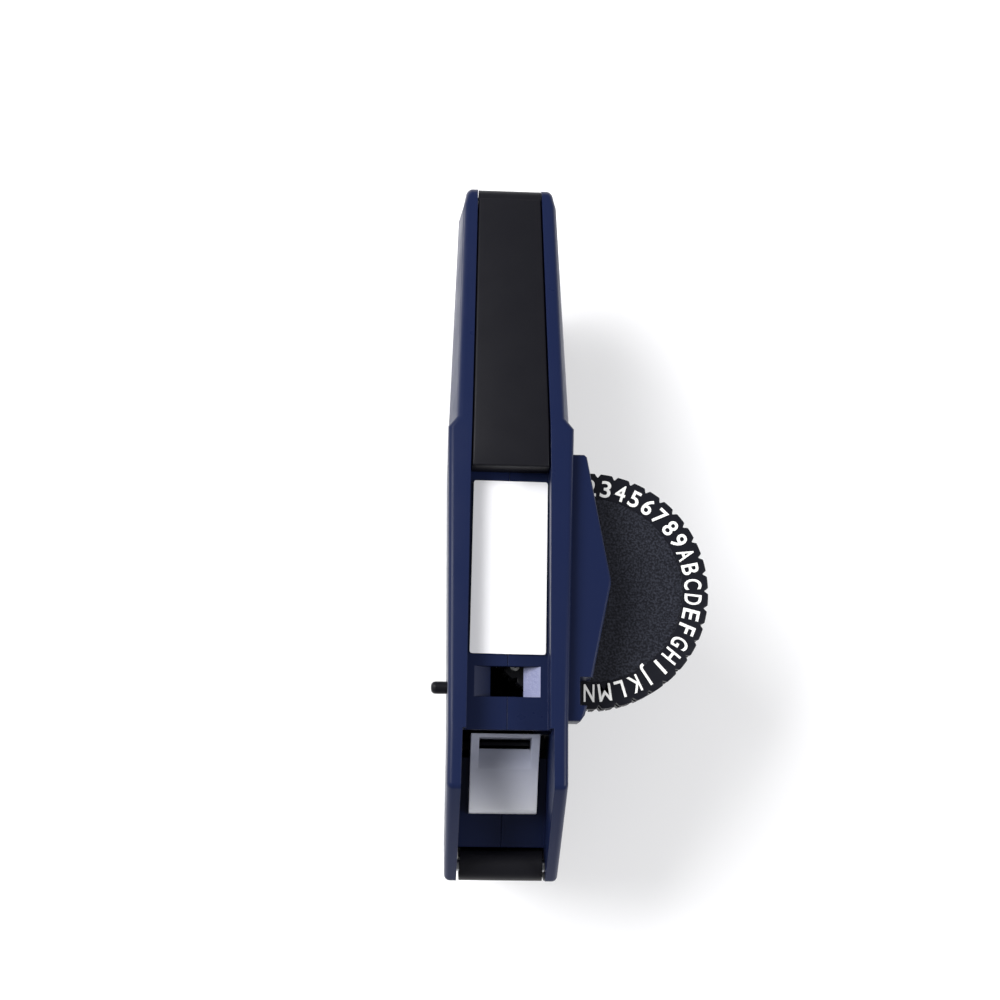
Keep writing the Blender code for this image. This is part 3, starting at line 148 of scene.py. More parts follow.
# Body shells: two halves injection moulded in navy ABS, screwed together along the middle. The
# right half also carries the bridge over the dial and the bracket under it. The halves meet in a
# fine seam down the recess, their long edges are rounded, and the handle's sides lean inwards.

top_z = 78.0 * MM
shoulder_y = 39.1 * MM
handle_end_y = 118.1 * MM
handle_slope = 16 * DEGREE
handle_end_top = top_z - (handle_end_y - shoulder_y) * math.tan(handle_slope)
nose_tip_y = -73.8 * MM
cavity_y = -37.0 * MM
body_wall = 2.4 * MM
seam_gap = 0.08 * MM
boss_radius = 3.2 * MM
screw_bore = 1.5 * MM
well_radius = 2.8 * MM
well_depth = 2.7 * MM
recess_depth = 7.0 * MM
roof_depth = 9.0 * MM
recess_floor_z = top_z - recess_depth
handle_start_y = 42.09 * MM
handle_lean = 2.2 * MM
handle_lean_height = 12.0 * MM
lean_fade_y = 104 * MM
lean_fade_length = 14 * MM
lean_fade_share = 0.65
lean_cuts = (1.0, 0.14)
outer_x = 8 * MM
edge_round = 1.5 * MM
weld = 0.001 * MM
overcut = 0.5 * MM
merge = 1 * MM
far = 200 * MM
window_y = -25.1 * MM
window_length = 7.6 * MM
window_half = 8.25 * MM
window_throat = 4.15 * MM
window_frame = 1.2 * MM
hinge_y = -70.0 * MM
hinge_z = 44.2 * MM
roller_y = -32.0 * MM
dial_x = 21.5 * MM
dial_gap_low = 54.45 * MM
dial_gap_high = 64.9 * MM
axle_clear = 3.25 * MM
magazine_z = 50.5 * MM
cover_axis_y = 113.6 * MM
cover_axis_z = 52.06 * MM
feed_z = 63.85 * MM
pinch_z = 56.45 * MM
shaft_clear = 1.25 * MM
tape_z = 60.15 * MM
button_y = -25.6 * MM
button_z = 58.0 * MM
cover_clear = 1.45 * MM
hinge_clear = 1.75 * MM
screw_places = ((-55.0, 38.0), (-16.0, 46.0), (30.0, 41.0), (80.0, 42.0), (104.0, 41.0))
body_stations = (
    (-73.8, 14.6), (-37.0, 14.65), (39.1, 16.15), (42.1, 16.0), (111.5, 14.4), (118.1, 12.66))
recess_stations = ((-37.0, 10.2), (28.7, 10.2), (118.1, 9.1))
cavity_stations = ((-73.8, 11.5), (-37.0, 11.05))


def roof(y, depth):
    """Height of the body's top line at y, a given depth below the skin."""
    sloping = top_z - (y - shoulder_y) * math.tan(handle_slope) - depth / math.cos(handle_slope)
    return min(top_z - depth, sloping)


def bend_y(depth):
    """Where a line that runs below the skin at a given depth bends down with the handle."""
    return shoulder_y - depth * math.tan(handle_slope / 2)


def half_width(y, stations):
    """Half width at y in metres, from stations in millimetres."""
    for (y0, half0), (y1, half1) in zip(stations, stations[1:]):
        if y <= y1 * MM:
            share = max(0.0, (y - y0 * MM) / ((y1 - y0) * MM))
            return (half0 + (half1 - half0) * share) * MM
    return stations[-1][1] * MM


def rounded(corners, steps=6):
    """Outline points from corners of (u, v, radius), with an arc wherever a radius is given."""
    points = []
    for index, (u, v, radius) in enumerate(corners):
        here = Vector((u, v))
        if not radius:
            points.append(here)
            continue
        back = (Vector(corners[index - 1][:2]) - here).normalized()
        ahead = (Vector(corners[(index + 1) % len(corners)][:2]) - here).normalized()
        half = back.angle(ahead) / 2
        centre = here + (back + ahead).normalized() * (radius / math.sin(half))
        start = here + back * (radius / math.tan(half)) - centre
        end = here + ahead * (radius / math.tan(half)) - centre
        turn = math.atan2(start.x * end.y - start.y * end.x, start.dot(end))
        for step in range(steps + 1):
            points.append(centre + Matrix.Rotation(turn * step / steps, 2) @ start)
    return points


PLANES = {
    "XY": Matrix(((1, 0, 0), (0, 1, 0), (0, 0, 1))).to_4x4(),
    "YZ": Matrix(((0, 0, 1), (1, 0, 0), (0, 1, 0))).to_4x4(),
    "XZ": Matrix(((1, 0, 0), (0, 0, -1), (0, 1, 0))).to_4x4(),
}


def curve_mesh(curve):
    """The mesh of a curve or a text, made through an object that is removed again."""
    holder = bpy.data.objects.new("holder", curve)
    bpy.context.scene.collection.objects.link(holder)
    mesh = bpy.data.meshes.new_from_object(holder.evaluated_get(bpy.context.evaluated_depsgraph_get()))
    bpy.data.objects.remove(holder, do_unlink=True)
    return mesh


def plate(outline, plane, low, high, holes=()):
    """A flat outline with holes, made thick from low to high across its plane, as a bmesh."""
    curve = bpy.data.curves.new("outline", "CURVE")
    curve.dimensions = "2D"
    curve.fill_mode = "BOTH"
    curve.extrude = (high - low) / 2
    for loop in (outline, *holes):
        spline = curve.splines.new("POLY")
        spline.points.add(len(loop) - 1)
        for point, place in zip(spline.points, loop):
            point.co = (place[0], place[1], 0, 1)
        spline.use_cyclic_u = True
    bm = bmesh.new()
    bm.from_mesh(curve_mesh(curve))
    bmesh.ops.remove_doubles(bm, verts=bm.verts, dist=weld)
    bmesh.ops.dissolve_limit(bm, angle_limit=0.1 * DEGREE, verts=bm.verts, edges=bm.edges)
    middle = (low + high) / 2 * (-1 if plane == "XZ" else 1)
    bm.transform(PLANES[plane] @ Matrix.Translation((0, 0, middle)))
    return outward(bm)


def outward(bm):
    """Turns the faces of one closed solid outwards."""
    bmesh.ops.recalc_face_normals(bm, faces=bm.faces)
    if bm.calc_volume(signed=True) < 0:
        bmesh.ops.reverse_faces(bm, faces=bm.faces)
    return bm


def brick(low, high):
    """A box between two corners."""
    bm = bmesh.new()
    bmesh.ops.create_cube(bm, size=1)
    size = Vector(high) - Vector(low)
    bmesh.ops.scale(bm, vec=size, verts=bm.verts)
    bmesh.ops.translate(bm, vec=Vector(low) + size / 2, verts=bm.verts)
    return bm


def bar(radius, start, end, sides=48):
    """A round bar between two points."""
    along = Vector(end) - Vector(start)
    bm = bmesh.new()
    bmesh.ops.create_cone(
        bm, cap_ends=True, segments=sides, radius1=radius, radius2=radius, depth=along.length)
    turn = along.to_track_quat("Z", "X").to_matrix().to_4x4()
    bm.transform(Matrix.Translation(Vector(start) + along / 2) @ turn)
    return outward(bm)


def tapered(outline, stations, inner, shrink=0.0):
    """A side outline from X inner out to the stations' half width, less a wall."""
    bm = plate(outline, "YZ", 0, 16 * MM)
    for y, _ in stations:
        everything = list(bm.verts) + list(bm.edges) + list(bm.faces)
        bmesh.ops.bisect_plane(bm, geom=everything, dist=weld, plane_co=(0, y * MM, 0), plane_no=(0, 1, 0))
    for vert in bm.verts:
        outer = vert.co.x > outer_x
        vert.co.x = half_width(vert.co.y, stations) - shrink if outer else inner
    return outward(bm)


def round_edges(bm, edges, radius, segments, clamp=True):
    """Rounds edges; clamped, the radius shrinks where two would meet."""
    bmesh.ops.bevel(
        bm, geom=edges, offset=radius, segments=segments, profile=0.5, affect="EDGES", clamp_overlap=clamp)


def mirrored(bm, side):
    """The same solid on the left side, for side -1."""
    if side < 0:
        bm.transform(Matrix.Diagonal((-1, 1, 1, 1)))
        bmesh.ops.reverse_faces(bm, faces=bm.faces)
    return bm


def as_piece(name, bm, *materials):
    """An object in the scene made of a bmesh, which is freed."""
    mesh = bpy.data.meshes.new(name)
    bm.to_mesh(mesh)
    bm.free()
    for material in materials:
        mesh.materials.append(material)
    made = bpy.data.objects.new(name, mesh)
    bpy.context.scene.collection.objects.link(made)
    return made


def shaped(name, blank, steps, *materials):
    """A blank with each step's solid joined to it or cut from it in turn, as one piece."""
    piece = as_piece(name, blank, *materials)
    helpers = []
    for operation, bm in steps:
        helper = as_piece("helper", bm)
        helpers.append(helper)
        modifier = piece.modifiers.new("step", "BOOLEAN")
        modifier.operation = operation
        modifier.solver = "EXACT"
        modifier.object = helper
    settle(piece)
    for helper in helpers:
        bpy.data.objects.remove(helper, do_unlink=True)
    return piece


def settle(piece, angle=32 * DEGREE):
    """Applies a piece's modifiers and shades it smooth but for its sharp edges."""
    graph = bpy.context.evaluated_depsgraph_get()
    mesh = bpy.data.meshes.new_from_object(piece.evaluated_get(graph))
    materials = [slot.material for slot in piece.material_slots]
    piece.modifiers.clear()
    piece.data = mesh
    mesh.materials.clear()
    for material in materials:
        mesh.materials.append(material)
    mesh.shade_smooth()
    mesh.set_sharp_from_angle(angle=angle)
    mesh.name = piece.name
    return piece


skin_shine = 0.13
rubbed_patch = 14 * MM


def moulded(name, colour, roughness, grain_mm, grain_depth_mm, edge_mm=0.3):
    """Moulded plastic: spark-eroded grain in its skin, patches that hands rubbed, soft edges."""
    made, shader = new_finish(name, colour, roughness)
    shader.inputs["Specular IOR Level"].default_value = skin_shine
    place = add_node(made, "ShaderNodeTexCoord")
    grain = add_node(
        made, "ShaderNodeTexNoise", {"Scale": 1 / (grain_mm * MM), "Detail": 3.0, "Roughness": 0.6},
        {"Vector": place.outputs["Object"]})
    cloud = add_node(
        made, "ShaderNodeTexNoise", {"Scale": 1 / rubbed_patch, "Detail": 4.0, "Roughness": 0.65},
        {"Vector": place.outputs["Object"]})
    rub = add_node(
        made, "ShaderNodeMapRange",
        {"From Min": 0.3, "From Max": 0.7, "To Min": roughness - 0.05, "To Max": roughness + 0.06},
        {"Value": cloud.outputs["Fac"]})
    soft_edge = add_node(made, "ShaderNodeBevel", {"Radius": edge_mm * MM}, samples=6)
    bump = add_node(
        made, "ShaderNodeBump", {"Strength": 1.0, "Distance": grain_depth_mm * MM},
        {"Height": grain.outputs["Fac"], "Normal": soft_edge.outputs["Normal"]})
    made.node_tree.links.new(rub.outputs["Result"], shader.inputs["Roughness"])
    made.node_tree.links.new(bump.outputs["Normal"], shader.inputs["Normal"])
    return made


# ABS straight from the mould: a deep navy colour right through, with a satin skin whose grain of
# about 0.35 mm breaks up reflections
navy_abs = moulded("navy_moulded_abs", "#141D3C", 0.32, 0.35, 0.004)
# The window's slanted right flank is glossy and coarsely etched, so it glints in the light; its much lighter
# navy is a painted highlight for the light that falls on that flank
etched_painted_highlight_abs = moulded("navy_etched_painted_highlight_abs", "#8084A4", 0.16, 0.9, 0.16, edge_mm=0.15)


def shell_blank(side):
    """Half of the body, solid: the handle's side leans inwards, then the long edges are rounded."""
    outline = rounded((
        (nose_tip_y, top_z - 30 * MM, 2 * MM),
        (nose_tip_y, top_z - 37.5 * MM, 2 * MM),
        (-66 * MM, 10 * MM, 2 * MM),
        (40 * MM, 22 * MM, 0),
        (handle_end_y, handle_end_top - 21 * MM, 2 * MM),
        (handle_end_y, handle_end_top, 4.5 * MM),
        (shoulder_y, top_z, 0),
        (-51 * MM, top_z, 2 * MM),
    ), 6)
    bm = tapered(outline, body_stations, seam_gap / 2)
    for share in lean_cuts:
        faces = [face for face in bm.faces if min(vert.co.y for vert in face.verts) > handle_start_y]
        edges = {edge for face in faces for edge in face.edges}
        verts = {vert for face in faces for vert in face.verts}
        bmesh.ops.bisect_plane(
            bm, geom=[*verts, *edges, *faces], dist=weld,
            plane_co=(0, shoulder_y, top_z - share * handle_lean_height),
            plane_no=(0, math.sin(handle_slope), math.cos(handle_slope)))
    for vert in bm.verts:
        if vert.co.x > outer_x and vert.co.y > handle_start_y:
            share = 1 - (roof(vert.co.y, 0) - vert.co.z) / handle_lean_height
            fade = min(max((vert.co.y - lean_fade_y) / lean_fade_length, 0), 1)
            vert.co.x -= handle_lean * (1 - lean_fade_share * fade) * min(max(share, 0), 1)
    edges = []
    for edge in bm.edges:
        if len(edge.link_faces) != 2:
            continue
        outer = min(vert.co.x for vert in edge.verts) > outer_x
        flanks = sum(abs(face.normal.x) > 0.5 for face in edge.link_faces)
        down = any(face.normal.z < -0.6 for face in edge.link_faces)
        if outer and flanks == 1 and not down:
            edges.append(edge)
    round_edges(bm, edges, edge_round, 6, clamp=False)
    return mirrored(outward(bm), side)


def shell_steps(side):
    """What is cut from and joined to both shells, in order."""
    steps = []

    def join(bm):
        steps.append(("UNION", mirrored(bm, side)))

    def cut(bm):
        steps.append(("DIFFERENCE", mirrored(bm, side)))

    def wall_at(y):
        return half_width(y, body_stations) - body_wall

    # The hollow of the body and the open nose
    inside_y = cavity_y - overcut
    inside_end_y = handle_end_y - body_wall
    cut(tapered((
        (inside_y, -far), (inside_y, top_z - roof_depth), (bend_y(roof_depth), top_z - roof_depth),
        (inside_end_y, roof(inside_end_y, roof_depth)), (inside_end_y, -far)),
        body_stations, -overcut, body_wall))
    cut(tapered((
        (nose_tip_y - 1 * MM, -far), (cavity_y, -far), (cavity_y, far), (nose_tip_y - 1 * MM, far)),
        cavity_stations, -overcut))
    # The web below the chute, the screws' bosses, the seat of the lever's spring and the
    # magazine's ribs
    web = ((-43 * MM, 52.6 * MM), (-65.4 * MM, 43.1 * MM), (-65.4 * MM, 45.5 * MM), (-43 * MM, 55 * MM))
    join(plate(web, "YZ", seam_gap / 2, 12 * MM))
    for y, z in screw_places:
        join(bar(
            boss_radius, (seam_gap / 2, y * MM, z * MM), (wall_at(y * MM) + merge, y * MM, z * MM), 32))
    join(brick((seam_gap / 2, 14 * MM, 38 * MM), (wall_at(20 * MM) + merge, 26 * MM, 40.5 * MM)))
    for y in (45, 63):
        join(brick(
            (8.65 * MM, (y - 1.2) * MM, 44.5 * MM), (wall_at(y * MM) + merge, (y + 1.2) * MM, 56.5 * MM)))
    # The window's frame
    window_low = window_y - window_length / 2
    window_high = window_y + window_length / 2
    join(brick(
        (window_throat, window_low - window_frame, recess_floor_z - 2.9 * MM),
        (10.2 * MM, window_high + window_frame, recess_floor_z - 1 * MM)))
    # The left shell's seat for the dial's detent spring, or the right shell's bridge
    if side < 0:
        steps.append(("UNION", brick(
            (-wall_at(30 * MM) - merge, 28 * MM, 55.05 * MM),
            (1.6 * MM - wall_at(30 * MM), 32 * MM, tape_z))))
    else:
        steps += bridge_steps(wall_at)
    # The recess, the window in its floor and the magazine's mouth
    recess_end_y = handle_end_y + 1 * MM
    cut(tapered((
        (inside_y, recess_floor_z), (bend_y(recess_depth), recess_floor_z),
        (recess_end_y, roof(recess_end_y, recess_depth)), (recess_end_y, far), (inside_y, far)),
        recess_stations, -overcut))
    opening = (
        (-overcut, 60 * MM), (window_throat, 60 * MM), (window_throat, recess_floor_z - 2.6 * MM),
        (window_half, recess_floor_z), (window_half, top_z), (-overcut, top_z))
    cut(plate(opening, "XZ", window_low, window_high))
    cut(brick((-overcut, 37.5 * MM, magazine_z), (6.85 * MM, 70.5 * MM, top_z)))
    # Room for the cover's curl, then the bores of the hinges, the rollers and the screws
    cut(bar(4.5 * MM, (-overcut, cover_axis_y, cover_axis_z), (9 * MM, cover_axis_y, cover_axis_z)))
    pin_reach = 13.4 * MM
    cut(bar(hinge_clear, (0, hinge_y, hinge_z), (pin_reach, hinge_y, hinge_z)))
    cut(bar(cover_clear, (0, cover_axis_y, cover_axis_z), (11.0 * MM, cover_axis_y, cover_axis_z), 32))
    for z in (feed_z, pinch_z):
        cut(bar(shaft_clear, (0, roller_y, z), (wall_at(roller_y) + 1.2 * MM, roller_y, z), 24))
    for y, z in screw_places:
        reach = 16 * MM if side < 0 else 7.3 * MM
        cut(bar(screw_bore, (0, y * MM, z * MM), (reach, y * MM, z * MM), 24))
        if side < 0:
            sunk = half_width(y * MM, body_stations) - well_depth
            cut(bar(well_radius, (sunk, y * MM, z * MM), (17 * MM, y * MM, z * MM), 32))
    return steps


def bridge_steps(wall_at):
    """The bridge over the dial, the bracket below it and the seat of the cutter's spring."""
    inner = wall_at(-34 * MM) + 1.2 * MM
    outline = tuple((x * MM, y * MM) for x, y in (
        (19.1, 33.2), (19.8, 32.5), (25.7, 0.7), (25.7, -0.7), (19.4, -31.7), (19.0, -33.3), (17.9, -34.9)))
    bridge = plate(((inner, 33.2 * MM), *outline, (inner, -34.9 * MM)), "XY", dial_gap_high, 74.5 * MM)
    upper = [
        edge for edge in bridge.edges
        if min(vert.co.z for vert in edge.verts) > 70 * MM
        and max(vert.co.x for vert in edge.verts) > inner + 1 * MM]
    round_edges(bridge, upper, 0.7 * MM, 4, clamp=False)
    bracket = plate(tuple((x * MM, y * MM) for x, y in (
        (inner / MM, -16.0), (19.0, -13.0), (25.7, -3.0), (25.7, 3.0), (19.0, 13.0), (inner / MM, 16.0))),
        "XY", 50.65 * MM, dial_gap_low)
    return [
        ("UNION", outward(bridge)),
        ("UNION", bracket),
        ("UNION", brick(
            (7.5 * MM, -37.3 * MM, 58.9 * MM), (wall_at(roller_y) + merge, -34.2 * MM, 60.9 * MM))),
    ]


left_shell = shaped("left_shell", shell_blank(-1), shell_steps(-1) + [
    ("DIFFERENCE", bar(1.85 * MM, (-17 * MM, button_y, button_z), (-10.8 * MM, button_y, button_z), 32)),
], navy_abs, etched_painted_highlight_abs)
right_shell = shaped("right_shell", shell_blank(1), shell_steps(1) + [
    ("DIFFERENCE", brick((17.8 * MM, -31 * MM, 64 * MM), (43 * MM, -24 * MM, top_z))),
    ("DIFFERENCE", bar(31.6 * MM, (dial_x, 0, dial_gap_low), (dial_x, 0, dial_gap_high), 96)),
    ("DIFFERENCE", bar(axle_clear, (dial_x, 0, 46 * MM), (dial_x, 0, 72.4 * MM))),
], navy_abs, etched_painted_highlight_abs)
# The right shell's slanted facet of the window gets the etched finish with its painted highlight
for face in right_shell.data.polygons:
    flank = face.center.z < recess_floor_z and abs(face.center.y - window_y) < window_length / 2
    if flank and -0.95 < face.normal.x < -0.3 and face.normal.z > 0.3:
        face.material_index = 1
for shell, node in ((left_shell, "left_body_shell"), (right_shell, "right_body_shell")):
    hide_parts(node)
    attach(shell, "body")

# Magazine cover: a black ABS lid over the handle, moulded with a curl at its rear end that turns
# on a steel pin. Its upper edges are rounded, and its flat front end shows above the label.

# The lid's ABS has the same fine grain as the shells, in black
black_abs = moulded("black_moulded_abs", "#141419", 0.42, 0.35, 0.006)

cover_front_y = 28.7 * MM
cover_end_y = 109.4 * MM
cover_drop = 0.2 * MM
cover_depth = 6.7 * MM
lid_wall = 2 * MM
curl_radius = 4.2 * MM
curl_half = 8.92 * MM
cover_stations = ((28.7, 9.9), (118.1, 8.8))
cover_inside = ((28.7, 8.4), (118.1, 7.3))


def both_sides(bm, stations):
    """Mirrors the width of a half piece whose inner face lies at X 0."""
    for vert in bm.verts:
        if abs(vert.co.x) < 0.01 * MM:
            vert.co.x = -half_width(vert.co.y, stations)
    return outward(bm)


cover_outline = (
    (cover_front_y, top_z - cover_drop), (cover_front_y, top_z - cover_depth),
    (bend_y(cover_depth), top_z - cover_depth), (cover_end_y, roof(cover_end_y, cover_depth)),
    (cover_axis_y, cover_axis_z - 1.4 * MM), (cover_axis_y, roof(cover_axis_y, cover_drop)),
    (bend_y(cover_drop), top_z - cover_drop))
cover_blank = both_sides(tapered(cover_outline, cover_stations, 0), cover_stations)
rim = []
for edge in cover_blank.edges:
    if len(edge.link_faces) == 2:
        up = any(face.normal.z > 0.7 for face in edge.link_faces)
        out = any(abs(face.normal.x) > 0.7 or face.normal.y < -0.7 for face in edge.link_faces)
        if up and out and edge.calc_face_angle(0) > 60 * DEGREE:
            rim.append(edge)
round_edges(cover_blank, rim, 0.6 * MM, 4)
inside_end = cover_axis_y - 8.4 * MM
cover_hollow = both_sides(tapered((
    (30.5 * MM, top_z - lid_wall), (30.5 * MM, 0), (inside_end, 0), (inside_end, roof(inside_end, lid_wall)),
    (bend_y(lid_wall), top_z - lid_wall)), cover_inside, 0), cover_inside)
cover = shaped("cover", outward(cover_blank), [
    ("UNION", bar(
        curl_radius, (-curl_half, cover_axis_y, cover_axis_z), (curl_half, cover_axis_y, cover_axis_z), 72)),
    ("DIFFERENCE", cover_hollow),
    ("DIFFERENCE", bar(
        cover_clear, (-16 * MM, cover_axis_y, cover_axis_z), (16 * MM, cover_axis_y, cover_axis_z), 32)),
], black_abs)
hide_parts("magazine_cover")
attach(cover, "cover")

# Name label: a rectangle of white film stuck to the floor of the recess, left bare here. It is
# die-cut with small round corners and has a thin varnish.

label_film, label_shader = new_finish("white_varnished_film", "#F7F7FA", 0.22)
place = add_node(label_film, "ShaderNodeTexCoord")
wave = add_node(
    label_film, "ShaderNodeTexNoise", {"Scale": 1 / (9 * MM), "Detail": 2.0},
    {"Vector": place.outputs["Object"]})
bump = add_node(
    label_film, "ShaderNodeBump", {"Strength": 0.3, "Distance": 0.05 * MM}, {"Height": wave.outputs["Fac"]})
label_film.node_tree.links.new(bump.outputs["Normal"], label_shader.inputs["Normal"])

label_half = 9.55 * MM
label_reach = 22.3 * MM
label_corner = 0.6 * MM
label_place = (0.15 * MM, 4 * MM, 0)
label_turn = -0.45 * DEGREE
label = as_piece("label", plate(rounded((
    (-label_half, -label_reach, label_corner), (label_half, -label_reach, label_corner),
    (label_half, label_reach, label_corner), (-label_half, label_reach, label_corner)), 5),
    "XY", 71.3 * MM, 71.55 * MM), label_film)
label.data.transform(Matrix.Translation(label_place) @ Matrix.Rotation(label_turn, 4, "Z"))
settle(label)
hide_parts("name_label")
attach(label, "body")

# Character dial: the face is a black ABS disc with a scalloped rim for the thumb. Its middle has a
# coarser grain than the smooth band that carries the raised white characters, and each notch of
# the rim lies outside one character.

dial_top_z = 64.0 * MM
face_thickness = 2.2 * MM
middle_sunk = 0.12 * MM
characters = "DCBA98765432" + "10!?/-.&" + "ZYXWVUTSRQPONMLKJIHGFE"
pitch = 2 * math.pi / len(characters)
band_radius = 24.2 * MM
dial_smooth = moulded("black_smooth_dial_abs", "#16171E", 0.30, 0.35, 0.003)
# The middle of the dial is coarsely etched, with a grain of about 0.5 mm. Its base colour has lighter
# speckles, painted glints where the grain catches the light
dial_grain_and_painted_glints = moulded("black_etched_dial_abs_painted_glints", "#181920", 0.34, 0.5, 0.05)
speck_place = add_node(dial_grain_and_painted_glints, "ShaderNodeTexCoord")
painted_glint_noise = add_node(
    dial_grain_and_painted_glints, "ShaderNodeTexNoise", {"Scale": 1 / (0.55 * MM), "Detail": 2.0, "Roughness": 0.7},
    {"Vector": speck_place.outputs["Object"]})
# Painted glints: noise picks the lighter speckles in the base colour
painted_glint_share = add_node(
    dial_grain_and_painted_glints, "ShaderNodeMapRange", {"From Min": 0.42, "From Max": 0.66, "To Min": 0.0, "To Max": 1.0},
    {"Value": painted_glint_noise.outputs["Fac"]})
painted_glint_tone = add_node(
    dial_grain_and_painted_glints, "ShaderNodeMix", {"A": linear("#16171D"), "B": linear("#32343D")},
    {"Factor": painted_glint_share.outputs["Result"]}, data_type="RGBA")
dial_grain_and_painted_glints.node_tree.links.new(
    painted_glint_tone.outputs["Result"], dial_grain_and_painted_glints.node_tree.nodes["Principled BSDF"].inputs["Base Color"])


def scallops():
    """The rim's outline: lobes with a soft V-shaped notch between each two."""
    points = []
    for lobe in range(len(characters)):
        for share, radius in ((-0.5, 30.0), (-0.45, 30.2), (-0.36, 30.8), (-0.31, 31.0),
                              (0, 31.0), (0.31, 31.0), (0.36, 30.8), (0.45, 30.2)):
            turn = (lobe + 0.5) * pitch + share * pitch
            points.append((radius * MM * math.cos(turn), radius * MM * math.sin(turn)))
    return points


def ring(radius, sides=96):
    """A circle's outline round the origin."""
    turns = [2 * math.pi * side / sides for side in range(sides)]
    return [(radius * math.cos(turn), radius * math.sin(turn)) for turn in turns]


face_rim = plate(scallops(), "XY", dial_top_z - face_thickness, dial_top_z, [ring(band_radius)])
edges = [edge for edge in face_rim.edges
         if min(vert.co.z for vert in edge.verts) > dial_top_z - 0.1 * MM
         and min(vert.co.xy.length for vert in edge.verts) > 29 * MM]
round_edges(face_rim, edges, 0.3 * MM, 2)
dial_band = as_piece("dial_band", face_rim, dial_smooth)
dial_band.location = (dial_x, 0, 0)
settle(dial_band, 40 * DEGREE)
dial_middle = as_piece("dial_middle", plate(
    ring(band_radius), "XY", dial_top_z - face_thickness, dial_top_z - middle_sunk,
    [ring(axle_clear, 32)]), dial_grain_and_painted_glints)
dial_middle.location = (dial_x, 0, 0)
settle(dial_middle)

# White hot-stamped foil on the raised characters, smooth and a little glossy
white_foil, foil_shader = new_finish("white_stamped_foil", "#F2F2F0", 0.38)
foil_place = add_node(white_foil, "ShaderNodeTexCoord")
foil_grain = add_node(
    white_foil, "ShaderNodeTexNoise", {"Scale": 1 / (0.5 * MM), "Detail": 2.0},
    {"Vector": foil_place.outputs["Object"]})
foil_tint = add_node(
    white_foil, "ShaderNodeMapRange", {"From Min": 0.3, "From Max": 0.7, "To Min": 0.32, "To Max": 0.46},
    {"Value": foil_grain.outputs["Fac"]})
white_foil.node_tree.links.new(foil_tint.outputs["Result"], foil_shader.inputs["Roughness"])

# The characters are plain drawn letters of one height and mostly one width. The typeface's capitals
# stand 0.73 of its size high, and letter_swell makes every stroke bolder on both sides.
typeface_size = 6.6 * MM
capital_share = 0.73
letter_swell = 0.09 * MM
letter_raise = 0.08 * MM
letter_height = 4.75 * MM
letter_width = 2.75 * MM
letter_foot = 24.75 * MM
letter_lead = 5.0 * DEGREE
# Widths as shares of letter_width. A share of 0 stands for the typeface's own proportions.
width_shares = {
    "M": 1.18, "W": 1.2, "I": 0.0, "J": 0.5, "L": 0.85, "F": 0.85,
    "1": 0.45, "!": 0.0, ".": 0.0, "-": 0.7, "/": 0.8}
letters = bmesh.new()
for number, character in enumerate(characters):
    text = bpy.data.curves.new("character", "FONT")
    text.body = character
    text.size = typeface_size
    text.extrude = 0.1 * MM
    text.offset = letter_swell
    text.resolution_u = 4
    mesh = curve_mesh(text)
    across = [vert.co.x for vert in mesh.vertices]
    full = letter_height / (typeface_size * capital_share + 2 * letter_swell)
    wide = width_shares.get(character, 1.0) * letter_width / (max(across) - min(across)) or full
    centred = Matrix.Translation((-(max(across) + min(across)) / 2, letter_swell, 0))
    turn = Matrix.Rotation(number * pitch - letter_lead - math.pi / 2, 4, "Z")
    lift = Matrix.Translation((0, letter_foot, dial_top_z + letter_raise))
    mesh.transform(turn @ lift @ Matrix.Diagonal((wide, full, 1, 1)) @ centred)
    letters.from_mesh(mesh)
dial_letters = as_piece("dial_letters", letters, white_foil)
dial_letters.location = (dial_x, 0, 0)
for piece in (dial_band, dial_middle, dial_letters):
    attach(piece, "dial")
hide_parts("dial_face")

# Wheels under the dial's face: a pressed steel wheel of punches, and below the tape a black ABS
# wheel of dies on springy fingers. Only their edges show.

plain_steel, steel_shader = new_finish("brushed_mild_steel", "#A9ABAF", 0.32, Metallic=1.0)
steel_place = add_node(plain_steel, "ShaderNodeTexCoord")
steel_stretch = add_node(
    plain_steel, "ShaderNodeMapping", {"Scale": (1, 14, 14)}, {"Vector": steel_place.outputs["Object"]})
steel_lines = add_node(
    plain_steel, "ShaderNodeTexNoise", {"Scale": 1 / (2.5 * MM), "Detail": 4.0},
    {"Vector": steel_stretch.outputs["Vector"]})
steel_rub = add_node(
    plain_steel, "ShaderNodeMapRange", {"From Min": 0.3, "From Max": 0.7, "To Min": 0.24, "To Max": 0.42},
    {"Value": steel_lines.outputs["Fac"]})
steel_edge = add_node(plain_steel, "ShaderNodeBevel", {"Radius": 0.2 * MM}, samples=6)
steel_bump = add_node(
    plain_steel, "ShaderNodeBump", {"Strength": 0.5, "Distance": 0.01 * MM},
    {"Height": steel_lines.outputs["Fac"], "Normal": steel_edge.outputs["Normal"]})
plain_steel.node_tree.links.new(steel_rub.outputs["Result"], steel_shader.inputs["Roughness"])
plain_steel.node_tree.links.new(steel_bump.outputs["Normal"], steel_shader.inputs["Normal"])


def finish_nodes(material, *names):
    """Gives CAD nodes that keep their shape their real material."""
    for name in names:
        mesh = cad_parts[name].data
        mesh.materials.clear()
        mesh.materials.append(material)


finish_nodes(
    plain_steel, "punch_wheel", "dial_axle", "press_frame", "press_anvil", "press_pin",
    "embossing_plunger", "lever_hinge_pin", "cover_hinge_pin", "feed_roller_shaft",
    "pinch_roller_shaft", "feed_ratchet_wheel")
finish_nodes(dial_smooth, "die_wheel")

# Tape chute: one moulding in milky acetal that guides the finished label out of the nose. It has
# a dark slot across its top end, where the cutter's blade rises, and a smooth rounded lip.

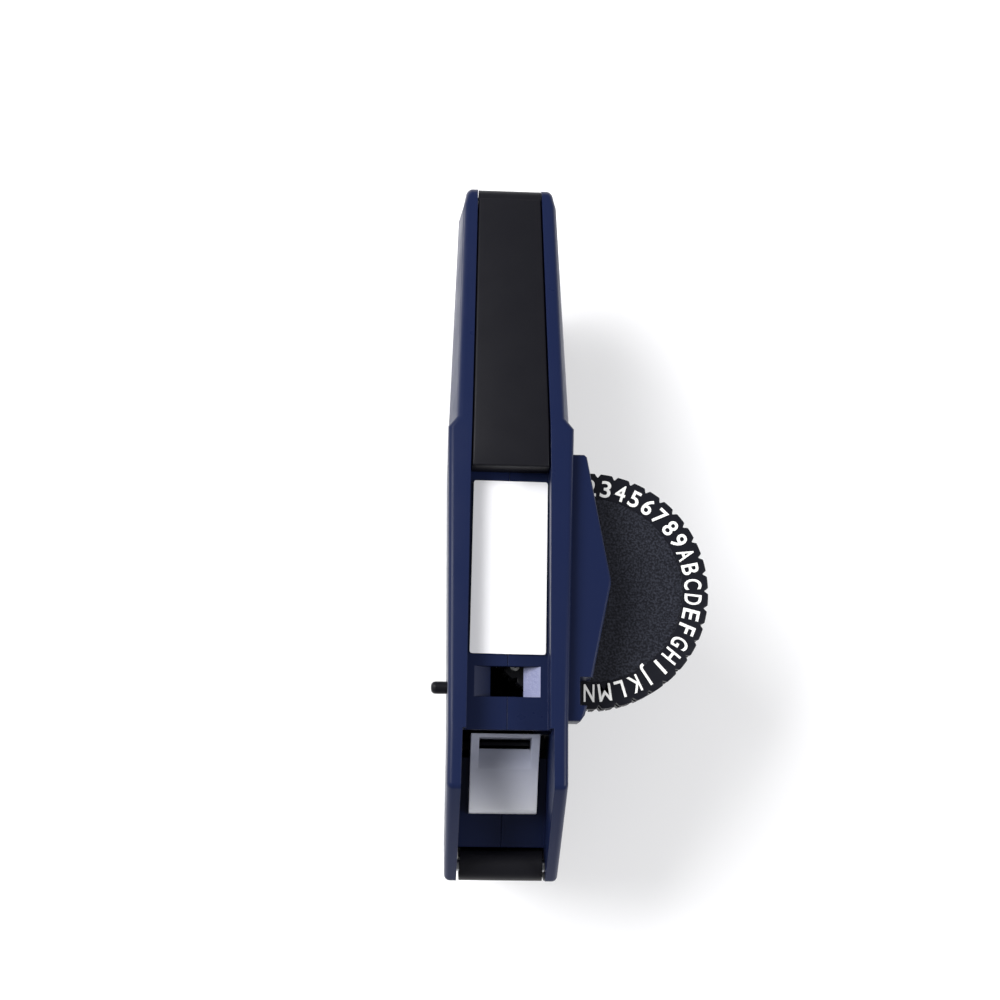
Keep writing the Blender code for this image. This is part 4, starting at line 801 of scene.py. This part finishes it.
milky_acetal, chute_shader = new_finish("milky_moulded_acetal", "#A4A7B4", 0.30)
chute_shader.inputs["Subsurface Weight"].default_value = 0.35
chute_shader.inputs["Subsurface Radius"].default_value = (1.0, 1.0, 1.1)
chute_shader.inputs["Subsurface Scale"].default_value = 1.5 * MM
milk_place = add_node(milky_acetal, "ShaderNodeTexCoord")
milk_cloud = add_node(
    milky_acetal, "ShaderNodeTexNoise", {"Scale": 1 / (5 * MM), "Detail": 3.0},
    {"Vector": milk_place.outputs["Object"]})
milk_tint = add_node(
    milky_acetal, "ShaderNodeMix", {"A": linear("#A6AABC"), "B": linear("#B8BCCE")},
    {"Factor": milk_cloud.outputs["Fac"]}, data_type="RGBA")
# The lip is thinner than the part under the tape; towards it the base colour is painted nearly white, a
# painted glow for the light that shines through it
milk_split = add_node(milky_acetal, "ShaderNodeSeparateXYZ", None, {"Vector": milk_place.outputs["Object"]})
painted_glow_share = add_node(
    milky_acetal, "ShaderNodeMapRange",
    {"From Min": -43.5 * MM, "From Max": -56.0 * MM, "To Min": 0.0, "To Max": 1.0},
    {"Value": milk_split.outputs["Y"]})
painted_glow_tone = add_node(
    milky_acetal, "ShaderNodeMix", {"B": linear("#F2F4FF")},
    {"Factor": painted_glow_share.outputs["Result"], "A": milk_tint.outputs["Result"]}, data_type="RGBA")
milk_edge = add_node(milky_acetal, "ShaderNodeBevel", {"Radius": 0.3 * MM}, samples=6)
milky_acetal.node_tree.links.new(painted_glow_tone.outputs["Result"], chute_shader.inputs["Base Color"])
milky_acetal.node_tree.links.new(milk_edge.outputs["Normal"], chute_shader.inputs["Normal"])

chute_y = -37.6 * MM
chute_front = -57.0 * MM
chute_bend = -45.8 * MM
chute_half = 8.7 * MM
chute_wall = 2.4 * MM
hollow_half = 7.2 * MM
slot_half = 6.6 * MM
lip_z = 54 * MM
web_y = -43 * MM
chute_foot_z = 43.7 * MM
tape_floor = tape_z - 0.4 * MM


def web_top(y):
    """Height of the top of the shells' web, on which the chute lies."""
    return 55.3 * MM + (y - web_y) * 9.5 / 22.4


chute_blank = plate(rounded((
    (chute_y, 66.2 * MM, 0), (chute_y, 53.4 * MM, 0), (web_y, 53.4 * MM, 0), (web_y, web_top(web_y), 0),
    (chute_front, web_top(chute_front), 0), (chute_front, lip_z, 2.4 * MM),
    (chute_bend, tape_floor, 14 * MM)), 8), "YZ", -chute_half, chute_half)
chute_slope = (tape_floor - lip_z) / (chute_bend - chute_front)
chute_skin = chute_wall / math.cos(math.atan(chute_slope))
chute_ceiling = tape_floor - 1.5 * MM
hollow_y = chute_y - 0.9 * MM
hollow_end = chute_front + chute_wall
blade_end = chute_y - 3.4 * MM
slot_end = chute_y - 2.9 * MM
chute = shaped("chute", chute_blank, [
    ("DIFFERENCE", plate((
        (hollow_y, chute_ceiling), (chute_bend + chute_wall, chute_ceiling),
        (chute_bend, tape_floor - chute_skin), (hollow_end, lip_z + chute_slope * chute_wall - chute_skin),
        (hollow_end, chute_foot_z), (hollow_y, chute_foot_z)), "YZ", -hollow_half, hollow_half)),
    ("DIFFERENCE", brick((-slot_half, blade_end, chute_foot_z), (slot_half, hollow_y, top_z))),
    ("DIFFERENCE", brick(
        (-slot_half, slot_end, tape_floor), (slot_half, chute_y + 0.5 * MM, tape_floor + 2.2 * MM))),
    ("DIFFERENCE", brick((-slot_half, chute_front - 0.5 * MM, tape_floor), (slot_half, slot_end, top_z))),
], milky_acetal)
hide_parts("tape_chute")
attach(chute, "body")

# Squeeze lever: a deep black ABS channel under the whole tool. Its front end curls round the steel
# hinge pin at the nose, which is the black bar that shows there.

lever_outline = rounded(tuple((y * MM, z * MM, r * MM) for y, z, r in (
    (-66.2, 44.2, 0), (-64.3, 32, 4), (-51, 26, 6), (-16, 26, 4), (-8, 32, 2), (8, 32, 4), (16, 14, 4),
    (100, 14, 4), (100, 0, 4), (-69, 0, 4), (-73.8, 36.6, 2), (-73.8, 44.2, 0))), 8)
lever_half = 10.75 * MM
lever_blank = plate(lever_outline, "YZ", -lever_half, lever_half)
corners = [
    edge for edge in lever_blank.edges
    if len(edge.link_faces) == 2 and sum(abs(face.normal.x) > 0.9 for face in edge.link_faces) == 1
    and min(vert.co.z for vert in edge.verts) < 36 * MM]
round_edges(lever_blank, corners, 0.8 * MM, 3)
lever_inside = tuple((y * MM, z * MM) for y, z in (
    (-71.2, 38.12), (-65.1, 3), (97.6, 3), (97.6, 64), (-51, 64), (-63.8, 44.2)))
lever = shaped("lever", outward(lever_blank), [
    ("UNION", bar(3.8 * MM, (-lever_half, hinge_y, hinge_z), (lever_half, hinge_y, hinge_z), 72)),
    ("DIFFERENCE", plate(lever_inside, "YZ", -8.35 * MM, 8.35 * MM)),
    ("DIFFERENCE", bar(hinge_clear, (-16 * MM, hinge_y, hinge_z), (16 * MM, hinge_y, hinge_z), 32)),
    ("DIFFERENCE", bar(3.5 * MM, (-16 * MM, 0, 26 * MM), (16 * MM, 0, 26 * MM))),
], black_abs)
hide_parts("trigger_lever")
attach(lever, "lever")

# Springs: hard-drawn wire, coiled with even gaps. One returns the lever, one the plunger and one
# the cutter. Their upper ends rest on seats of the shells, the plunger's under the press frame.

spring_wire, wire_shader = new_finish("drawn_spring_steel", "#8F9196", 0.24, Metallic=1.0)
wire_place = add_node(spring_wire, "ShaderNodeTexCoord")
wire_marks = add_node(
    spring_wire, "ShaderNodeTexNoise", {"Scale": 1 / (0.8 * MM), "Detail": 3.0},
    {"Vector": wire_place.outputs["Object"]})
wire_rub = add_node(
    spring_wire, "ShaderNodeMapRange", {"From Min": 0.3, "From Max": 0.7, "To Min": 0.18, "To Max": 0.34},
    {"Value": wire_marks.outputs["Fac"]})
spring_wire.node_tree.links.new(wire_rub.outputs["Result"], wire_shader.inputs["Roughness"])
finish_nodes(spring_wire, "dial_detent_spring", "feed_pawl")

curl_steps = 28


def add_spring(name, node, radius, wire, curls):
    """A coil in the place of a CAD spring."""
    low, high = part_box(node)
    middle = (low + high) / 2
    curve = bpy.data.curves.new(name, "CURVE")
    curve.dimensions = "3D"
    curve.bevel_depth = wire / 2
    curve.bevel_resolution = 3
    curve.use_fill_caps = True
    spline = curve.splines.new("POLY")
    count = curls * curl_steps
    spline.points.add(count)
    for step, point in enumerate(spline.points):
        turn = 2 * math.pi * step / curl_steps
        climb = (high.z - low.z - wire) * step / count
        point.co = (radius * math.cos(turn), radius * math.sin(turn), climb, 1)
    bm = bmesh.new()
    bm.from_mesh(curve_mesh(curve))
    bmesh.ops.remove_doubles(bm, verts=bm.verts, dist=weld)
    bmesh.ops.translate(bm, vec=(middle.x, middle.y, low.z + wire / 2), verts=bm.verts)
    piece = settle(as_piece(name, bm, spring_wire), 60 * DEGREE)
    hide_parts(node)
    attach(piece, "body")
    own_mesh(piece)


add_spring("lever_spring", "lever_return_spring", 4.6 * MM, 1.0 * MM, 9)
add_spring("press_spring", "plunger_spring", 5.5 * MM, 0.6 * MM, 4)
add_spring("blade_spring", "cutter_spring", 1.35 * MM, 0.4 * MM, 5)

# Feed rollers: black rubber sleeves with a groove round the middle, fixed on steel shafts that turn
# in the walls of the shells. One lies above the tape and the other below it.

roller_rubber, rubber_shader = new_finish("black_moulded_rubber", "#141414", 0.75)
rubber_place = add_node(roller_rubber, "ShaderNodeTexCoord")
rubber_grain = add_node(
    roller_rubber, "ShaderNodeTexNoise", {"Scale": 1 / (0.4 * MM), "Detail": 3.0},
    {"Vector": rubber_place.outputs["Object"]})
rubber_bump = add_node(
    roller_rubber, "ShaderNodeBump", {"Strength": 0.8, "Distance": 0.03 * MM},
    {"Height": rubber_grain.outputs["Fac"]})
roller_rubber.node_tree.links.new(rubber_bump.outputs["Normal"], rubber_shader.inputs["Normal"])
finish_nodes(roller_rubber, "feed_roller", "pinch_roller")

# Cutter: a hardened steel blade, coloured near black as painted shade, so that the slot above it looks dark.
# Its carrier, its button, whose round end stands out of the left shell, and the tape's magazine are black
# ABS.

# Near-black colour: painted shade for the dark slot above the blade
blade_steel_painted_shade, blade_shader = new_finish("tool_steel_painted_shade", "#1A1B1F", 0.45, Metallic=1.0)
blade_place = add_node(blade_steel_painted_shade, "ShaderNodeTexCoord")
blade_marks = add_node(
    blade_steel_painted_shade, "ShaderNodeTexNoise", {"Scale": 1 / (0.7 * MM), "Detail": 3.0},
    {"Vector": blade_place.outputs["Object"]})
blade_rub = add_node(
    blade_steel_painted_shade, "ShaderNodeMapRange", {"From Min": 0.3, "From Max": 0.7, "To Min": 0.38, "To Max": 0.52},
    {"Value": blade_marks.outputs["Fac"]})
blade_steel_painted_shade.node_tree.links.new(blade_rub.outputs["Result"], blade_shader.inputs["Roughness"])
finish_nodes(blade_steel_painted_shade, "cutter_blade")
finish_nodes(black_abs, "tape_magazine", "cutter_carrier", "cutter_button")

# Body screws: five of zinc-plated steel, with round heads and a cross recess. They are sunk in wells
# in the left shell and run through its bosses into those of the right shell.

screw_zinc, zinc_shader = new_finish("zinc_plated_steel", "#B9BAC0", 0.26, Metallic=1.0)
zinc_place = add_node(screw_zinc, "ShaderNodeTexCoord")
zinc_cloud = add_node(
    screw_zinc, "ShaderNodeTexNoise", {"Scale": 1 / (1.2 * MM), "Detail": 3.0},
    {"Vector": zinc_place.outputs["Object"]})
zinc_tint = add_node(
    screw_zinc, "ShaderNodeMix", {"A": linear("#A7A9B0"), "B": linear("#C4C5C6")},
    {"Factor": zinc_cloud.outputs["Fac"]}, data_type="RGBA")
screw_zinc.node_tree.links.new(zinc_tint.outputs["Result"], zinc_shader.inputs["Base Color"])

screw_sides = 32
cross_reach = 1.3 * MM
cross_half = 0.28 * MM
for number, (y, z) in enumerate(screw_places, 1):
    node = f"body_screw_{number}"
    low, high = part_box(node)
    length = (high.x - low.x) / MM
    middle = Vector((low.x, y * MM, z * MM))
    head = bmesh.new()
    loops = []
    for radius, depth in (
            (0, 0.0), (0.9, 0.05), (1.7, 0.22), (2.25, 0.6), (2.5, 1.1), (2.5, 1.8),
            (1.2, 1.8), (1.2, length - 0.6), (0.6, length), (0, length)):
        turns = [2 * math.pi * side / screw_sides for side in range(screw_sides if radius else 1)]
        loops.append([head.verts.new(middle + Vector((
            depth * MM, radius * MM * math.cos(turn), radius * MM * math.sin(turn)))) for turn in turns])
    for first, second in zip(loops, loops[1:]):
        for side in range(screw_sides):
            corners = [
                first[side % len(first)], first[(side + 1) % len(first)],
                second[(side + 1) % len(second)], second[side % len(second)]]
            head.faces.new(list(dict.fromkeys(corners)))
    screw = shaped(f"screw_{number}", outward(head), [
        ("DIFFERENCE", brick(
            middle - Vector((1 * MM, cross_reach, cross_half)),
            middle + Vector((0.9 * MM, cross_reach, cross_half)))),
        ("DIFFERENCE", brick(
            middle - Vector((1.1 * MM, cross_half, cross_reach)),
            middle + Vector((0.9 * MM, cross_half, cross_reach)))),
    ], screw_zinc)
    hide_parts(node)
    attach(screw, "body")
